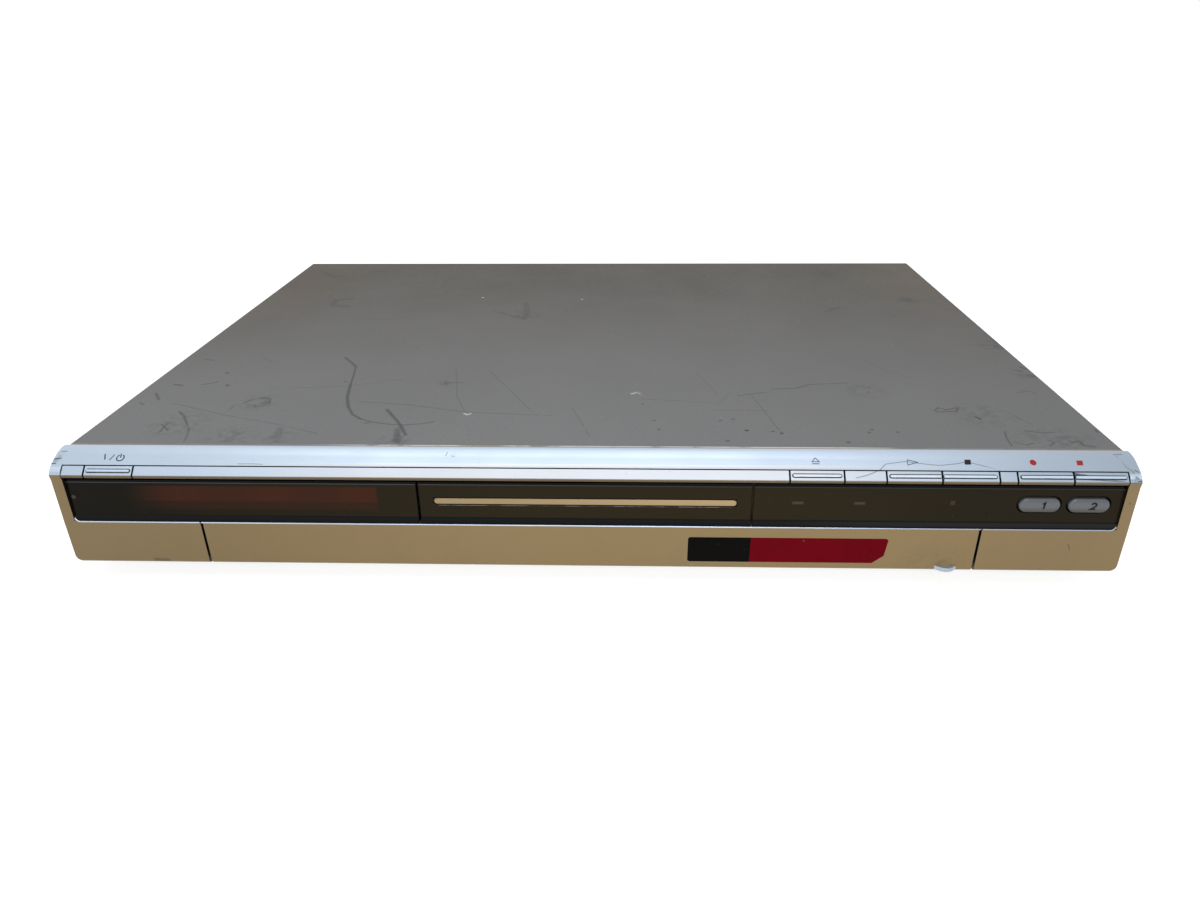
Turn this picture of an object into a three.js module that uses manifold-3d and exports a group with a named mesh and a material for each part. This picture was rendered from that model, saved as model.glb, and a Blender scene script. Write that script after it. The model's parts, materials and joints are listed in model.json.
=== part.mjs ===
// A disc and hard disk recorder, a full-width hi-fi component, in millimetres with +Z up.
// Local frame: x to the right, y to the back from the front edge, z up from the table.
import * as THREE from 'three';
import { mergeVertices } from 'three/addons/utils/BufferGeometryUtils.js';
import Module from 'manifold-3d';

const wasm = await Module();
wasm.setup();

// Case
const case_width = 430;
const cover_depth = 315;
const fascia_height = 48;
const sheet = 1;
const fit_gap = 0.3;
const overrun = 1;
const pan_flange = 13;
const rear_plate_inset = 1;

// Feet
const foot_height = 8.5;
const foot_radius = 19;
const foot_pad_radius = 15;
const foot_flare_share = 0.35;
const foot_inset_x = 52;
const foot_inset_front = 46;
const foot_inset_rear = 38;

// Front moulding
const band_depth = 15;
const band_drop = 6.8;
const band_proud = 0.5;
const band_wall = 2.2;
const band_profile_shares = [[0.093, 0.706], [0.233, 0.485], [0.42, 0.29], [0.613, 0.103], [0.867, 0],
  [1, 0.015]];
const cheek_width = 4.5;
const lip_height = 1;
const lip_setback = 1;
const face_lean = 0.8;
const face_wall = 2.6;
const frame_wall = 2;
const frame_border = 3.4;

// Key rail and rail keys
const key_front_height = 1.3;
const key_shadow_gap = 1;
const key_slope_run = 3;
const key_body_depth = 2.6;
const key_travel = 0.9;
const key_seam = 0.3;
const rib_width = 0.7;
const rib_height = 0.35;
const rib_inset = 1.2;
const rail_bar_height = 1.6;
const rail_seam_shares = [0, 0.0219, 0.0696, 0.6905, 0.7411, 0.7796, 0.8306, 0.8829, 0.899, 0.9501, 1];
const rail_segments = ['', 'power_key', '', 'eject_key', '', 'play_key', 'stop_key', '',
  'record_key', 'record_stop_key'];

// Windows and drive keys
const window_height = 19;
const window_setback = 2;
const window_bevel_height = 2.6;
const window_bevel_reach = 1.1;
const window_depth = 4.7;
const window_wall = 2.4;
const drive_key_width = 16.8;
const drive_key_height = 7;
const drive_key_proud = 0.8;
const drive_key_depth = 7.5;
const drive_key_rise = 10.6;
const drive_key_insets = { hard_disk_key: 31.9, disc_key: 12.8 };

// Front flap
const flap_width_share = 0.7335;
const flap_seam = 0.4;
const flap_wall = 3;
const flap_pivot_rise = 3;
const flap_pivot_setback = 5.5;
const flap_swing_gap = 5.2;
const flap_pin_radius = 1.4;
const flap_pin_length = 2.2;
const flap_lug_width = 3;
const flap_lug_radius = 2;
const tab_inset = 11.4;
const tab_width = 11;
const tab_reach = 3.2;
const tab_height = 1.8;

// Front sockets
const input_panel_setback = 13;
const input_panel_wall = 1.6;
const input_panel_height = 17;
const input_row_rise = 10.5;
const phono_radius = 4.1;
const phono_bore = 2.6;
const phono_reach = 4;
const phono_body = 10.5;
const phono_body_depth = 12;
const input_margin = 12;
const input_sockets = ['round_video_in_socket', 'video_in_jack', 'audio_left_in_jack',
  'audio_right_in_jack'];
const round_socket_radius = 5.4;
const round_socket_bore = 3.8;
const input_board_depth = 34;
const input_board_margin = 7;

// Circuit boards
const board_wall = 1.6;
const board_rise = 4.5;
const pillar_radius = 3.2;
const pillar_inset = 8;
const display_tube_height = 9.5;
const display_tube_inset = 32.5;
const display_tube_gap = 11;
const display_tube_depth = 5;
const front_board_height = 36;
const front_board_rise = 4;
const key_board_height = 22;
const component_side_gap = 5;

// Disc drive
const drive_depth = 188;
const drive_height = 41.5;
const drive_setback = 17.2;
const drive_stand = 2.2;
const drive_wall = 2.5;
const drive_floor = 2;
const disc_radius = 60;
const disc_well_gap = 0.5;
const disc_well_depth = 3;
const disc_place = 61;
const tray_width = 128;
const tray_side_room = 9;
const tray_front_margin = 2.7;
const tray_front_place = -0.3;
const tray_height = 6;
const tray_rise = 23.6;
const tray_tail = 48;
const tray_slot_width = 40;
const tray_slot_start = 20;
const tray_travel = 140;
const stripe_inset = 5.9;
const stripe_height = 2.8;
const stripe_rise = 9.8;
const stripe_depth = 0.7;
const rail_reach = 8;
const rail_lip = 2.2;
const clamp_radius = 16;
const clamp_neck_radius = 9;
const clamp_flange_radius = 14;
const clamp_flange_height = 1;
const clamp_disc_height = 3.2;
const disc_wall = 1.2;

// Traverse
const traverse_width = 84;
const traverse_front = 13;
const traverse_wall = 2;
const traverse_pin_radius = 2;
const traverse_pin_length = 4;
const traverse_bracket_width = 5;
const spindle_radius = 12;
const spindle_height = 9;
const shaft_radius = 1.2;
const turntable_radius = 14;
const turntable_wall = 1.3;
const turntable_lift = 1.5;
const disc_bore = 7.3;
const hub_height = 1.4;
const pickup_width = 38;
const pickup_length = 24;
const pickup_start = 26;
const pickup_travel = 30;
const pickup_height = 8.6;
const lens_radius = 3.4;
const lens_height = 1;
const guide_rod_radius = 1.5;
const guide_rod_spread = 24;
const guide_rod_rise = 2.6;
const post_width = 6;
const screw_radius = 1.3;
const screw_place = 33;

// Loading gears
const tooth_module = 1;
const rack_height = 3;
const rack_inset = 4;
const rack_back = 1.6;
const pinion_teeth = 16;
const wheel_teeth = 32;
const motor_teeth = 10;
const gear_wall = 2.6;
const gear_place = 20;
const axle_radius = 1.6;
const bore_gap = 0.35;
const loading_motor_radius = 9;
const loading_motor_height = 12;

// Hard disk
const disk_inset = 26.2;
const disk_gap = 14.2;
const disk_length = 147;
const disk_height = 26;
const disk_board_wall = 1.6;
const disk_corner = 4;
const disk_lid_wall = 1.2;
const disk_lid_inset = 3;
const disk_setback = 58;
const disk_stand = 5;
const bracket_wall = 1.2;
const bracket_margin = 5;

// Power supply
const power_inset = 12;
const power_gap = 18;
const power_length = 190;
const power_setback = 58;
const transformer_width = 36;
const transformer_length = 32;
const transformer_height = 27;
const transformer_core = 9;
const winding_inset = 3;
const sink_width = 60;
const sink_height = 28;
const sink_fin = 1.6;
const sink_fin_reach = 8;
const sink_fins = 5;
const sink_place_share = 0.2;
const capacitor_radius = 11;
const capacitor_height = 30;

// Main board and rear sockets
const main_width = 226;
const main_length = 92;
const main_inset = 10;
const main_rear_gap = 8;
const chip_sink_width = 34;
const chip_sink_height = 12;
const fan_width = 40;
const fan_depth = 10;
const fan_gap = 11;
const fan_bore = 18.6;
const fan_hub = 8;
const grille_slots = 5;
const grille_width = 30;
const grille_pitch = 6.6;
const grille_slot = 4.2;
const fan_blades = 7;
const fan_blade_wall = 1.4;
const fan_blade_length = 6;
const fan_blade_pitch = 35;
const fan_strut_angles = [30, 150, 270];
const twin_socket_width = 92;
const twin_socket_height = 15;
const twin_socket_depth = 24;
const twin_slot_width = 39;
const twin_slot_height = 9;
const twin_slot_depth = 9;
const rear_socket_reach = 3;
const rear_jack_pitch = 14;
const rear_jack_columns = 3;
const rear_jack_body = 11;
const rear_jack_depth = 12;
const tuner_width = 44;
const tuner_length = 60;
const tuner_height = 20;
const aerial_radius = 4.7;
const aerial_bore = 2.6;
const aerial_reach = 9;
const aerial_pitch = 22;
const inlet_width = 24;
const inlet_height = 14;
const inlet_depth = 22;
const inlet_inset = 45;
const inlet_well_depth = 12;
const inlet_wall = 2.2;
const inlet_pin = 1;

// Places that follow from the sizes above
const half_width = case_width / 2;
const rear_y = band_depth + cover_depth;
const roof_z = foot_height + fascia_height;
const crown_z = roof_z + band_proud;
const knife_z = crown_z - band_drop;
const pan_top = foot_height + sheet;
const board_z = pan_top + board_rise;
const rail_length = case_width - 2 * cheek_width;
const rail_end = rail_length / 2;
const window_top = knife_z - key_front_height - key_shadow_gap;
const window_bottom = window_top - window_height;
const window_back = window_setback + window_depth;
const bevel_top = window_bottom + window_bevel_height;
const lip_bottom = window_bottom - lip_height;
const groove_z = knife_z + key_slope_run;
const frame_front = window_back + fit_gap;
const frame_back = frame_front + frame_wall;
const flap_width = case_width * flap_width_share;
const flap_top = window_bottom - flap_seam;
const flap_pivot_z = foot_height + flap_pivot_rise;
const flap_opening_end = flap_width / 2 + flap_seam;
const tray_z = pan_top + drive_stand + tray_rise;
const tray_back = frame_front + disc_place + disc_radius + tray_tail;
const disc_y = frame_front + disc_place;
const plate_z = rear_y - rear_plate_inset - sheet;
const front_board_y = frame_back + display_tube_depth + 2 * fit_gap;
const loader_back = drive_setback + drive_depth;
const turntable_z = tray_z + tray_height - disc_well_depth + turntable_lift;
const plate_top_z = turntable_z - turntable_wall - fit_gap - spindle_height - fit_gap;
const pickup_far_y = disc_y + pickup_start + pickup_travel + pickup_length / 2 + 2 * fit_gap;
const traverse_pivot_y = pickup_far_y + 2 * post_width;
const gear_y = drive_setback + gear_place;
const main_front = rear_y - main_rear_gap - main_length;
const drive_width = tray_width + 2 * tray_side_room;
const tray_front_width = tray_width + 2 * tray_front_margin;
const stripe_width = tray_front_width - 2 * stripe_inset;
const drive_key_places = Object.fromEntries(
  Object.entries(drive_key_insets).map(([name, inset]) => [name, rail_end - inset]));
const tab_place = flap_width / 2 - tab_inset;
const input_start = drive_width / 2 + input_margin;
const input_pitch = (flap_width / 2 - input_margin - input_start) / (input_sockets.length - 1);
const input_places = Object.fromEntries(
  input_sockets.map((name, index) => [name, input_start + index * input_pitch]));
const display_tube_width = rail_end - display_tube_inset - drive_width / 2 - display_tube_gap;
const display_tube_place = display_tube_inset + display_tube_width / 2 - rail_end;
const disk_width = half_width - disk_inset - drive_width / 2 - disk_gap;
const disk_place = half_width - disk_inset - disk_width / 2;
const power_width = half_width - power_inset - drive_width / 2 - power_gap;
const power_place = power_inset + power_width / 2 - half_width;
const main_place = half_width - main_inset - main_width / 2;
const fan_place = main_place - main_width / 2 - fan_gap - fan_width / 2;
const rear_jack_width = rear_jack_pitch * (rear_jack_columns - 1) + rear_jack_body;
const rear_gap = (main_width - rear_jack_width - twin_socket_width - tuner_width) / 4;
const rear_jack_place = main_place - main_width / 2 + rear_gap + rear_jack_width / 2;
const twin_socket_place = rear_jack_place + rear_jack_width / 2 + rear_gap + twin_socket_width / 2;
const tuner_place = twin_socket_place + twin_socket_width / 2 + rear_gap + tuner_width / 2;
const inlet_place = inlet_inset - half_width;

const facets = { fine: 48, round: 32, plain: 20, small: 14 };

// Finishes: colour, roughness and metalness
const finishes = {
  silver_paint: ['#c9d6de', 0.38, 0.35],
  grey_steel: ['#7d7d7b', 0.45, 0.55],
  zinc_steel: ['#9a9c9b', 0.42, 0.8],
  pearl_key: ['#dfeef2', 0.3, 0.3],
  taupe_paint: ['#92785e', 0.42, 0.3],
  window_glass: ['#26211b', 0.12, 0],
  stripe_gold: ['#b09970', 0.35, 0.5],
  key_grey: ['#6c7174', 0.4, 0.1],
  display_glass: ['#40251c', 0.1, 0],
  black_plastic: ['#1d1d1f', 0.55, 0],
  grey_plastic: ['#4a4c4f', 0.6, 0],
  white_plastic: ['#d9d7cf', 0.5, 0],
  amber_plastic: ['#b98a2f', 0.5, 0],
  jack_yellow: ['#d6b32a', 0.4, 0],
  jack_white: ['#e6e4dd', 0.4, 0],
  jack_red: ['#b3252b', 0.4, 0],
  board_green: ['#1f5a3a', 0.55, 0],
  board_tan: ['#a77f47', 0.6, 0],
  cast_alloy: ['#a4a6a8', 0.4, 0.8],
  polished_steel: ['#c9cbcc', 0.2, 1],
  winding_tape: ['#c7a63a', 0.5, 0],
  capacitor_sleeve: ['#2b2d3b', 0.4, 0],
  rubber: ['#161616', 0.85, 0],
};

// Shape helpers: each gives a closed solid
function volume_sign(points, faces) {
  let sum = 0;
  const corner = [new THREE.Vector3(), new THREE.Vector3(), new THREE.Vector3()];
  for (let i = 0; i < faces.length; i += 3) {
    corner.forEach((vertex, k) => vertex.fromArray(points, faces[i + k] * 3));
    sum += corner[0].dot(corner[1].cross(corner[2]));
  }
  return Math.sign(sum);
}

function solid(geometry) {
  geometry.deleteAttribute('normal');
  geometry.deleteAttribute('uv');
  const merged = mergeVertices(geometry);
  const points = merged.attributes.position.array;
  const faces = [];
  for (let i = 0; i < merged.index.count; i += 3) {
    const [a, b, c] = [0, 1, 2].map((k) => merged.index.array[i + k]);
    if (a !== b && b !== c && c !== a) faces.push(a, b, c);
  }
  if (volume_sign(points, faces) < 0) faces.reverse();
  return new wasm.Manifold(new wasm.Mesh({
    numProp: 3,
    vertProperties: new Float32Array(points),
    triVerts: new Uint32Array(faces),
  }));
}

function block(x, y, z) {
  const box = new THREE.BoxGeometry(x[1] - x[0], y[1] - y[0], z[1] - z[0]);
  box.translate((x[0] + x[1]) / 2, (y[0] + y[1]) / 2, (z[0] + z[1]) / 2);
  return solid(box);
}

const along = {
  x: [new THREE.Vector3(0, 1, 0), new THREE.Vector3(0, 0, 1), new THREE.Vector3(1, 0, 0)],
  y: [new THREE.Vector3(1, 0, 0), new THREE.Vector3(0, 0, 1), new THREE.Vector3(0, -1, 0)],
  z: [new THREE.Vector3(1, 0, 0), new THREE.Vector3(0, 1, 0), new THREE.Vector3(0, 0, 1)],
};

// An outline in the two axes across the named one, (y, z), (x, z) or (x, y), run from one place to the other
function prism(axis, outline, from, to, curve_steps = facets.small / 2) {
  const shape = outline instanceof THREE.Shape ? outline
    : new THREE.Shape(outline.map(([u, v]) => new THREE.Vector2(u, v)));
  const run = new THREE.ExtrudeGeometry(shape, {
    depth: to - from, steps: 1, bevelEnabled: false, curveSegments: curve_steps,
  });
  run.applyMatrix4(new THREE.Matrix4().makeBasis(...along[axis]));
  const start = axis === 'y' ? -to : from;
  run.translate(...along[axis][2].clone().multiplyScalar(start).toArray());
  return solid(run);
}

function round(axis, radius, across, from, to, sides = facets.plain) {
  const outline = Array.from({ length: sides }, (_, k) => {
    const angle = ((k + 0.5) * 2 * Math.PI) / sides;
    return [across[0] + radius * Math.cos(angle), across[1] + radius * Math.sin(angle)];
  });
  return prism(axis, outline, from, to);
}

function tube(axis, radius, bore, across, from, to, sides = facets.plain) {
  const hole = round(axis, bore, across, from - overrun, to + overrun, sides);
  return round(axis, radius, across, from, to, sides).subtract(hole);
}

function turned(profile, sides = facets.round) {
  const lathe = new THREE.LatheGeometry(profile.map(([r, h]) => new THREE.Vector2(r, h)), sides);
  return solid(lathe.rotateX(Math.PI / 2));
}

function stadium(width, height, centre_x, centre_z) {
  const radius = height / 2;
  const reach = width / 2 - radius;
  const shape = new THREE.Shape();
  shape.absarc(centre_x + reach, centre_z, radius, -Math.PI / 2, Math.PI / 2);
  shape.absarc(centre_x - reach, centre_z, radius, Math.PI / 2, (3 * Math.PI) / 2);
  return shape;
}

function rounded_outline(x, y, radius) {
  const shape = new THREE.Shape();
  shape.absarc(x[1] - radius, y[0] + radius, radius, -Math.PI / 2, 0);
  shape.absarc(x[1] - radius, y[1] - radius, radius, 0, Math.PI / 2);
  shape.absarc(x[0] + radius, y[1] - radius, radius, Math.PI / 2, Math.PI);
  shape.absarc(x[0] + radius, y[0] + radius, radius, Math.PI, (3 * Math.PI) / 2);
  return shape;
}

function join(solids) {
  return solids.reduce((whole, next) => whole.add(next));
}

function cut(whole, tools) {
  return tools.reduce((rest, tool) => rest.subtract(tool), whole);
}

function span(centre, length) {
  return [centre - length / 2, centre + length / 2];
}

// The span between two distances from the middle, on the left (hand -1) or the right (hand 1)
function beside(hand, near, far) {
  return [hand * near, hand * far].sort((a, b) => a - b);
}

function piece(name, shape, finish, group) {
  const cut_mesh = shape.getMesh();
  const geometry = new THREE.BufferGeometry();
  geometry.setAttribute('position', new THREE.BufferAttribute(new Float32Array(cut_mesh.vertProperties), 3));
  geometry.setIndex(new THREE.BufferAttribute(new Uint32Array(cut_mesh.triVerts), 1));
  geometry.computeVertexNormals();
  const [color, roughness, metalness] = finishes[finish];
  const mesh = new THREE.Mesh(geometry, new THREE.MeshStandardMaterial({ color, roughness, metalness }));
  mesh.name = name;
  group.add(mesh);
  return mesh;
}

// Base pan with its side flanges and the pillars that carry the boards
function board_pillars(x, y) {
  const inner_x = [x[0] + pillar_inset, x[1] - pillar_inset];
  const inner_y = [y[0] + pillar_inset, y[1] - pillar_inset];
  return inner_x.flatMap((px) => inner_y.map(
    (py) => round('z', pillar_radius, [px, py], foot_height + sheet / 2, board_z, facets.small)));
}

function base_pan() {
  const side = half_width - sheet - fit_gap;
  const depth = [band_depth + fit_gap, plate_z - fit_gap];
  const floor = block([-side, side], depth, [foot_height, pan_top]);
  const flanges = [-1, 1].map((hand) => {
    return block(beside(hand, side, side - sheet), depth, [foot_height, foot_height + pan_flange]);
  });
  const stand_places = [drive_setback + pillar_inset, loader_back - pillar_inset];
  const stands = [-1, 1].flatMap((hand) => stand_places.map(
    (y) => round('z', pillar_radius, [hand * (drive_width / 2 - pillar_inset), y],
      foot_height + sheet / 2, pan_top + drive_stand, facets.small)));
  return join([floor, ...flanges, ...stands,
    ...board_pillars(span(power_place, power_width), [power_setback, power_setback + power_length]),
    ...board_pillars(span(main_place, main_width), [main_front, main_front + main_length])]);
}

function top_cover() {
  const depth = [band_depth + fit_gap, rear_y];
  const shell = block([-half_width, half_width], depth, [foot_height + fit_gap, roof_z]);
  const side = half_width - sheet;
  return shell.subtract(block([-side, side], [depth[0] - overrun, depth[1] + overrun],
    [foot_height - overrun, roof_z - sheet]));
}

function foot() {
  return turned([[0, 0], [foot_pad_radius, 0], [foot_radius, foot_height * foot_flare_share],
    [foot_radius, foot_height], [0, foot_height]], facets.round);
}

// Outline of the front in (y, z): the crowned band, the knife edge and the leaning face below it
function band_outline() {
  const places = band_profile_shares.map(([run, fall]) => new THREE.Vector2(run * band_depth,
    crown_z - fall * band_drop));
  const curve = new THREE.SplineCurve(places);
  return curve.getPoints(facets.plain).map(({ x, y }) => [x, Math.min(y, crown_z)]);
}

function face_front(z) {
  const share = (lip_bottom - z) / (lip_bottom - foot_height);
  return lip_setback + Math.max(share, 0) * face_lean;
}

// The lower face from its rounded lower edge up to the lip
function face_outline() {
  const low = foot_height;
  return [[face_front(low) + lip_setback, low], [face_front(low), low + lip_height],
    [lip_setback, lip_bottom]];
}

function cheek_outline() {
  return [[0, knife_z], ...band_outline(), [band_depth, foot_height], ...face_outline(),
    [lip_setback / 2, window_top]].reverse();
}

// The moulding's pieces run into its cheeks
function moulding_span() {
  return [-rail_end - overrun, rail_end + overrun];
}

function front_cap() {
  const top = band_outline().filter(([y]) => y > key_slope_run + key_seam);
  const start = [key_slope_run + key_seam, groove_z + key_seam];
  const under = [...top].reverse().map(([y, z]) => [y, z - band_wall]);
  const heel = [start[0] + band_wall, start[1] - band_wall];
  const outline = [start, ...top, ...under.filter(([y]) => y > heel[0]), heel].reverse();
  return prism('x', outline, ...moulding_span());
}

function lower_face(x) {
  const front = [...face_outline(), [lip_setback, window_bottom - fit_gap]];
  const back = [...front].reverse().map(([y, z]) => [y + face_wall, z]);
  return prism('x', [...front, ...back].reverse(), x[0], x[1]);
}

function bezel_frame() {
  const plate = block(moulding_span(), [frame_front, frame_back], [lip_bottom, window_top + key_shadow_gap]);
  const hole_z = [window_bottom + frame_border / 2, window_top - frame_border / 2];
  const depth = [frame_front - overrun, frame_back + overrun];
  const tray_half = tray_width / 2 + fit_gap;
  const tray_hole = block([-tray_half, tray_half], depth,
    [tray_z - rack_height - fit_gap, tray_z + tray_height + fit_gap]);
  const left = block([-rail_end + frame_border, -tray_front_width / 2 - frame_border], depth, hole_z);
  const right = block([tray_front_width / 2 + frame_border, rail_end - frame_border], depth, hole_z);
  return cut(plate, [left, tray_hole, right]);
}

function front_bezel() {
  const hands = [-1, 1];
  const cheeks = hands.map((hand) => prism('x', cheek_outline(), ...beside(hand, half_width, rail_end)));
  const lower = hands.map((hand) => lower_face(beside(hand, rail_end + overrun, flap_opening_end)));
  const ears = hands.map((hand) => block(beside(hand, flap_opening_end, flap_opening_end + flap_lug_width),
    [face_front(foot_height) + lip_setback, input_panel_setback], [foot_height, window_bottom]));
  const pin_holes = hands.map((hand) => round('x', flap_pin_radius + fit_gap,
    [flap_pivot_setback, flap_pivot_z],
    ...beside(hand, flap_opening_end - overrun, flap_opening_end + flap_lug_width), facets.small));
  const lips = hands.map((hand) => block(beside(hand, flap_opening_end, rail_end + overrun),
    [lip_setback, frame_back], [lip_bottom, window_bottom - fit_gap]));
  const stop = block(moulding_span(), [lip_setback + flap_wall + fit_gap, frame_back],
    [lip_bottom, window_bottom - fit_gap]);
  const sill = block(moulding_span(), [flap_pivot_setback + flap_swing_gap, band_depth],
    [foot_height, foot_height + sheet + flap_seam]);
  const hanger = block(moulding_span(), [frame_front, frame_back],
    [window_top + key_shadow_gap / 2, crown_z - band_wall]);
  const frame = [front_cap(), ...cheeks, ...lower, ...ears, ...lips, stop, sill, hanger, bezel_frame()];
  return cut(join(frame), pin_holes);
}

// Rail keys: a wedge behind the knife edge, which travels square to its slope
function key_outline(depth) {
  const step = depth / Math.SQRT2;
  const foot = knife_z - key_front_height;
  return [[0, knife_z], [key_slope_run, groove_z], [key_slope_run + step, groove_z - step],
    [key_slope_run, foot], [fit_gap, foot]].reverse();
}

function key_ribs(x) {
  const middle = key_slope_run / 2;
  const half = rib_width / 2;
  const steps = [[-half, 0], [-half, 1], [half, 1], [half, 0], [half, -1], [-half, -1]];
  const outline = steps.map(([climb, lift]) => [middle + climb - lift * rib_height,
    knife_z + middle + climb + lift * rib_height]).reverse();
  return prism('x', outline, x[0] + rib_inset, x[1] - rib_inset);
}

function rail_span(index) {
  const place = (share) => share * rail_length - rail_end;
  return [place(rail_seam_shares[index]) + key_seam / 2, place(rail_seam_shares[index + 1]) - key_seam / 2];
}

function rail_key(index) {
  const x = rail_span(index);
  return prism('x', key_outline(key_body_depth), x[0], x[1]).add(key_ribs(x));
}

function key_rail() {
  const blanks = rail_segments.flatMap((name, index) => {
    if (name) return [];
    const x = rail_span(index);
    const tongue_z = [knife_z - key_front_height, knife_z + fit_gap];
    return [prism('x', key_outline(key_body_depth), x[0], x[1]),
      block(x, [key_slope_run, frame_front - fit_gap], tongue_z)];
  });
  const bar_front = key_slope_run + (key_body_depth + key_travel) / Math.SQRT2 + fit_gap / 2;
  const bar_low = knife_z - key_front_height;
  const bar = block([-rail_end + key_seam, rail_end - key_seam], [bar_front, frame_front - fit_gap],
    [bar_low, bar_low + rail_bar_height]);
  return join([...blanks, bar]);
}

// Windows and tray front share one outline in (y, z)
function window_outline() {
  return [[window_setback, window_top - fit_gap], [window_back, window_top - fit_gap],
    [window_back, window_bottom], [window_setback - window_bevel_reach, window_bottom],
    [window_setback, bevel_top]];
}

function window_pane(x) {
  const pane = prism('x', window_outline(), x[0], x[1]);
  return pane.subtract(block([x[0] + window_wall, x[1] - window_wall],
    [window_setback + window_wall, window_back + overrun],
    [window_bottom + window_wall, window_top - window_wall]));
}

function display_window() {
  return window_pane([-rail_end, tray_front_place - tray_front_width / 2 - fit_gap]);
}

function indicator_window() {
  const pane = window_pane([tray_front_place + tray_front_width / 2 + fit_gap, rail_end]);
  const holes = Object.values(drive_key_places).map((x) => prism('y',
    stadium(drive_key_width + 2 * fit_gap, drive_key_height + 2 * fit_gap, x,
      window_bottom + drive_key_rise), 0, window_back + overrun));
  return cut(pane, holes);
}

function drive_key() {
  return prism('y', stadium(drive_key_width, drive_key_height, 0, 0), 0, drive_key_depth);
}

// Front flap, about its pins at the lower edge
function front_flap() {
  const half = flap_width / 2;
  const low = foot_height;
  const front = [...face_outline(), [lip_setback, flap_top]];
  const back = [...front].reverse().map(([y, z]) => [y + flap_wall, z]);
  const panel = prism('x', [...front, ...back].reverse(), -half, half);
  const lugs = [-1, 1].flatMap((hand) => {
    const lug_x = beside(hand, half, half - flap_lug_width);
    const pin_x = beside(hand, half - flap_lug_width / 2, half + flap_pin_length);
    const centre = [flap_pivot_setback, flap_pivot_z];
    return [round('x', flap_lug_radius, centre, lug_x[0], lug_x[1], facets.small),
      block(lug_x, [face_front(low) + flap_wall / 2, flap_pivot_setback],
        [flap_pivot_z - flap_lug_radius, flap_pivot_z + flap_lug_radius]),
      round('x', flap_pin_radius, centre, pin_x[0], pin_x[1], facets.small)];
  });
  const tab_shape = new THREE.Shape();
  tab_shape.moveTo(tab_place - tab_width / 2, face_front(low) + lip_setback);
  tab_shape.quadraticCurveTo(tab_place, face_front(low) - 2 * tab_reach, tab_place + tab_width / 2,
    face_front(low) + lip_setback);
  const tab = prism('z', tab_shape, low + lip_height, low + lip_height + tab_height);
  return join([panel, ...lugs, tab]);
}

// Sockets behind the flap
function input_panel() {
  const sill_top = foot_height + sheet + flap_seam;
  const z = [sill_top + fit_gap, sill_top + input_panel_height];
  const y = [input_panel_setback, input_panel_setback + input_panel_wall];
  const half = flap_opening_end - fit_gap;
  const row_z = pan_top + input_row_rise;
  const holes = Object.entries(input_places).map(([name, x]) => round('y',
    (name === 'round_video_in_socket' ? round_socket_radius : phono_radius) + fit_gap, [x, row_z],
    y[0] - overrun, y[1] + overrun));
  return cut(block([-half, half], y, z), holes);
}

function phono_jack(body, radius, bore, reach, body_depth) {
  const barrel = tube('y', radius, bore, [0, 0], -reach - input_panel_wall - fit_gap, overrun);
  const case_z = [-input_row_rise + board_wall + 2 * fit_gap, body / 2];
  return join([barrel, block(span(0, body), [0, body_depth], case_z)])
    .subtract(round('y', bore, [0, 0], -reach - overrun, body_depth / 2));
}

function display_tube() {
  return block(span(display_tube_place, display_tube_width),
    [frame_back + fit_gap, frame_back + fit_gap + display_tube_depth],
    span(window_bottom + drive_key_rise + flap_wall, display_tube_height));
}

// Disc drive, in its own frame: x from the middle, y from the frame's front, z from its underside
function loader_frame() {
  const half = drive_width / 2;
  const well = block([-half + drive_wall, half - drive_wall], [-overrun, drive_depth - drive_wall],
    [drive_floor, drive_height + overrun]);
  const opening = block([-traverse_width / 2 - fit_gap * 4, traverse_width / 2 + fit_gap * 4],
    [disc_y - drive_setback - traverse_front - fit_gap * 4, traverse_pivot_y - drive_setback + post_width],
    [-overrun, drive_floor + overrun]);
  const shell = cut(block([-half, half], [0, drive_depth], [0, drive_height - sheet - fit_gap]),
    [well, opening]);
  const rails = [-1, 1].flatMap((hand) => {
    const wall = half - drive_wall / 2;
    const tongue = half - drive_wall - rail_reach;
    const side = tray_width / 2 + fit_gap;
    const y = [0, drive_depth - drive_wall / 2];
    const under = tray_rise - fit_gap;
    const over = tray_rise + tray_height + fit_gap;
    return [block(beside(hand, wall, tongue), y, [under - rail_lip, under]),
      block(beside(hand, wall, side), y, [under - rail_lip, over + rail_lip]),
      block(beside(hand, wall, tongue), y, [over, over + rail_lip])];
  });
  const gear_post = round('z', axle_radius, [gear_x(), gear_place], drive_floor / 2, tray_rise - fit_gap,
    facets.small);
  const pivots = [-1, 1].map((hand) => {
    const pin_end = traverse_width / 2 + traverse_pin_length;
    const x = beside(hand, pin_end - traverse_bracket_width / 2, pin_end + traverse_bracket_width / 2);
    const y = span(traverse_pivot_y - drive_setback, post_width + traverse_pin_radius);
    const top = traverse_pivot_rise() + traverse_pin_radius + sheet + fit_gap;
    const bore = round('x', traverse_pin_radius + fit_gap,
      [traverse_pivot_y - drive_setback, traverse_pivot_rise()], x[0] - overrun, x[1] + overrun,
      facets.small);
    return block(x, y, [0, top]).subtract(bore);
  });
  return join([shell, ...rails, gear_post, ...pivots]);
}

function traverse_pivot_rise() {
  return plate_top_z - traverse_wall / 2 - pan_top - drive_stand;
}

function gear_x() {
  const pitch_line = -tray_width / 2 + rack_inset + rack_back + tooth_module;
  return pitch_line + (pinion_teeth * tooth_module) / 2 + bore_gap;
}

function loader_cover() {
  const half = drive_width / 2;
  const lid = block([-half, half], [0, drive_depth], [drive_height - sheet, drive_height]);
  return lid.subtract(round('z', clamp_neck_radius + sheet, [0, disc_y - drive_setback],
    drive_height - sheet - overrun, drive_height + overrun, facets.round));
}

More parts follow.
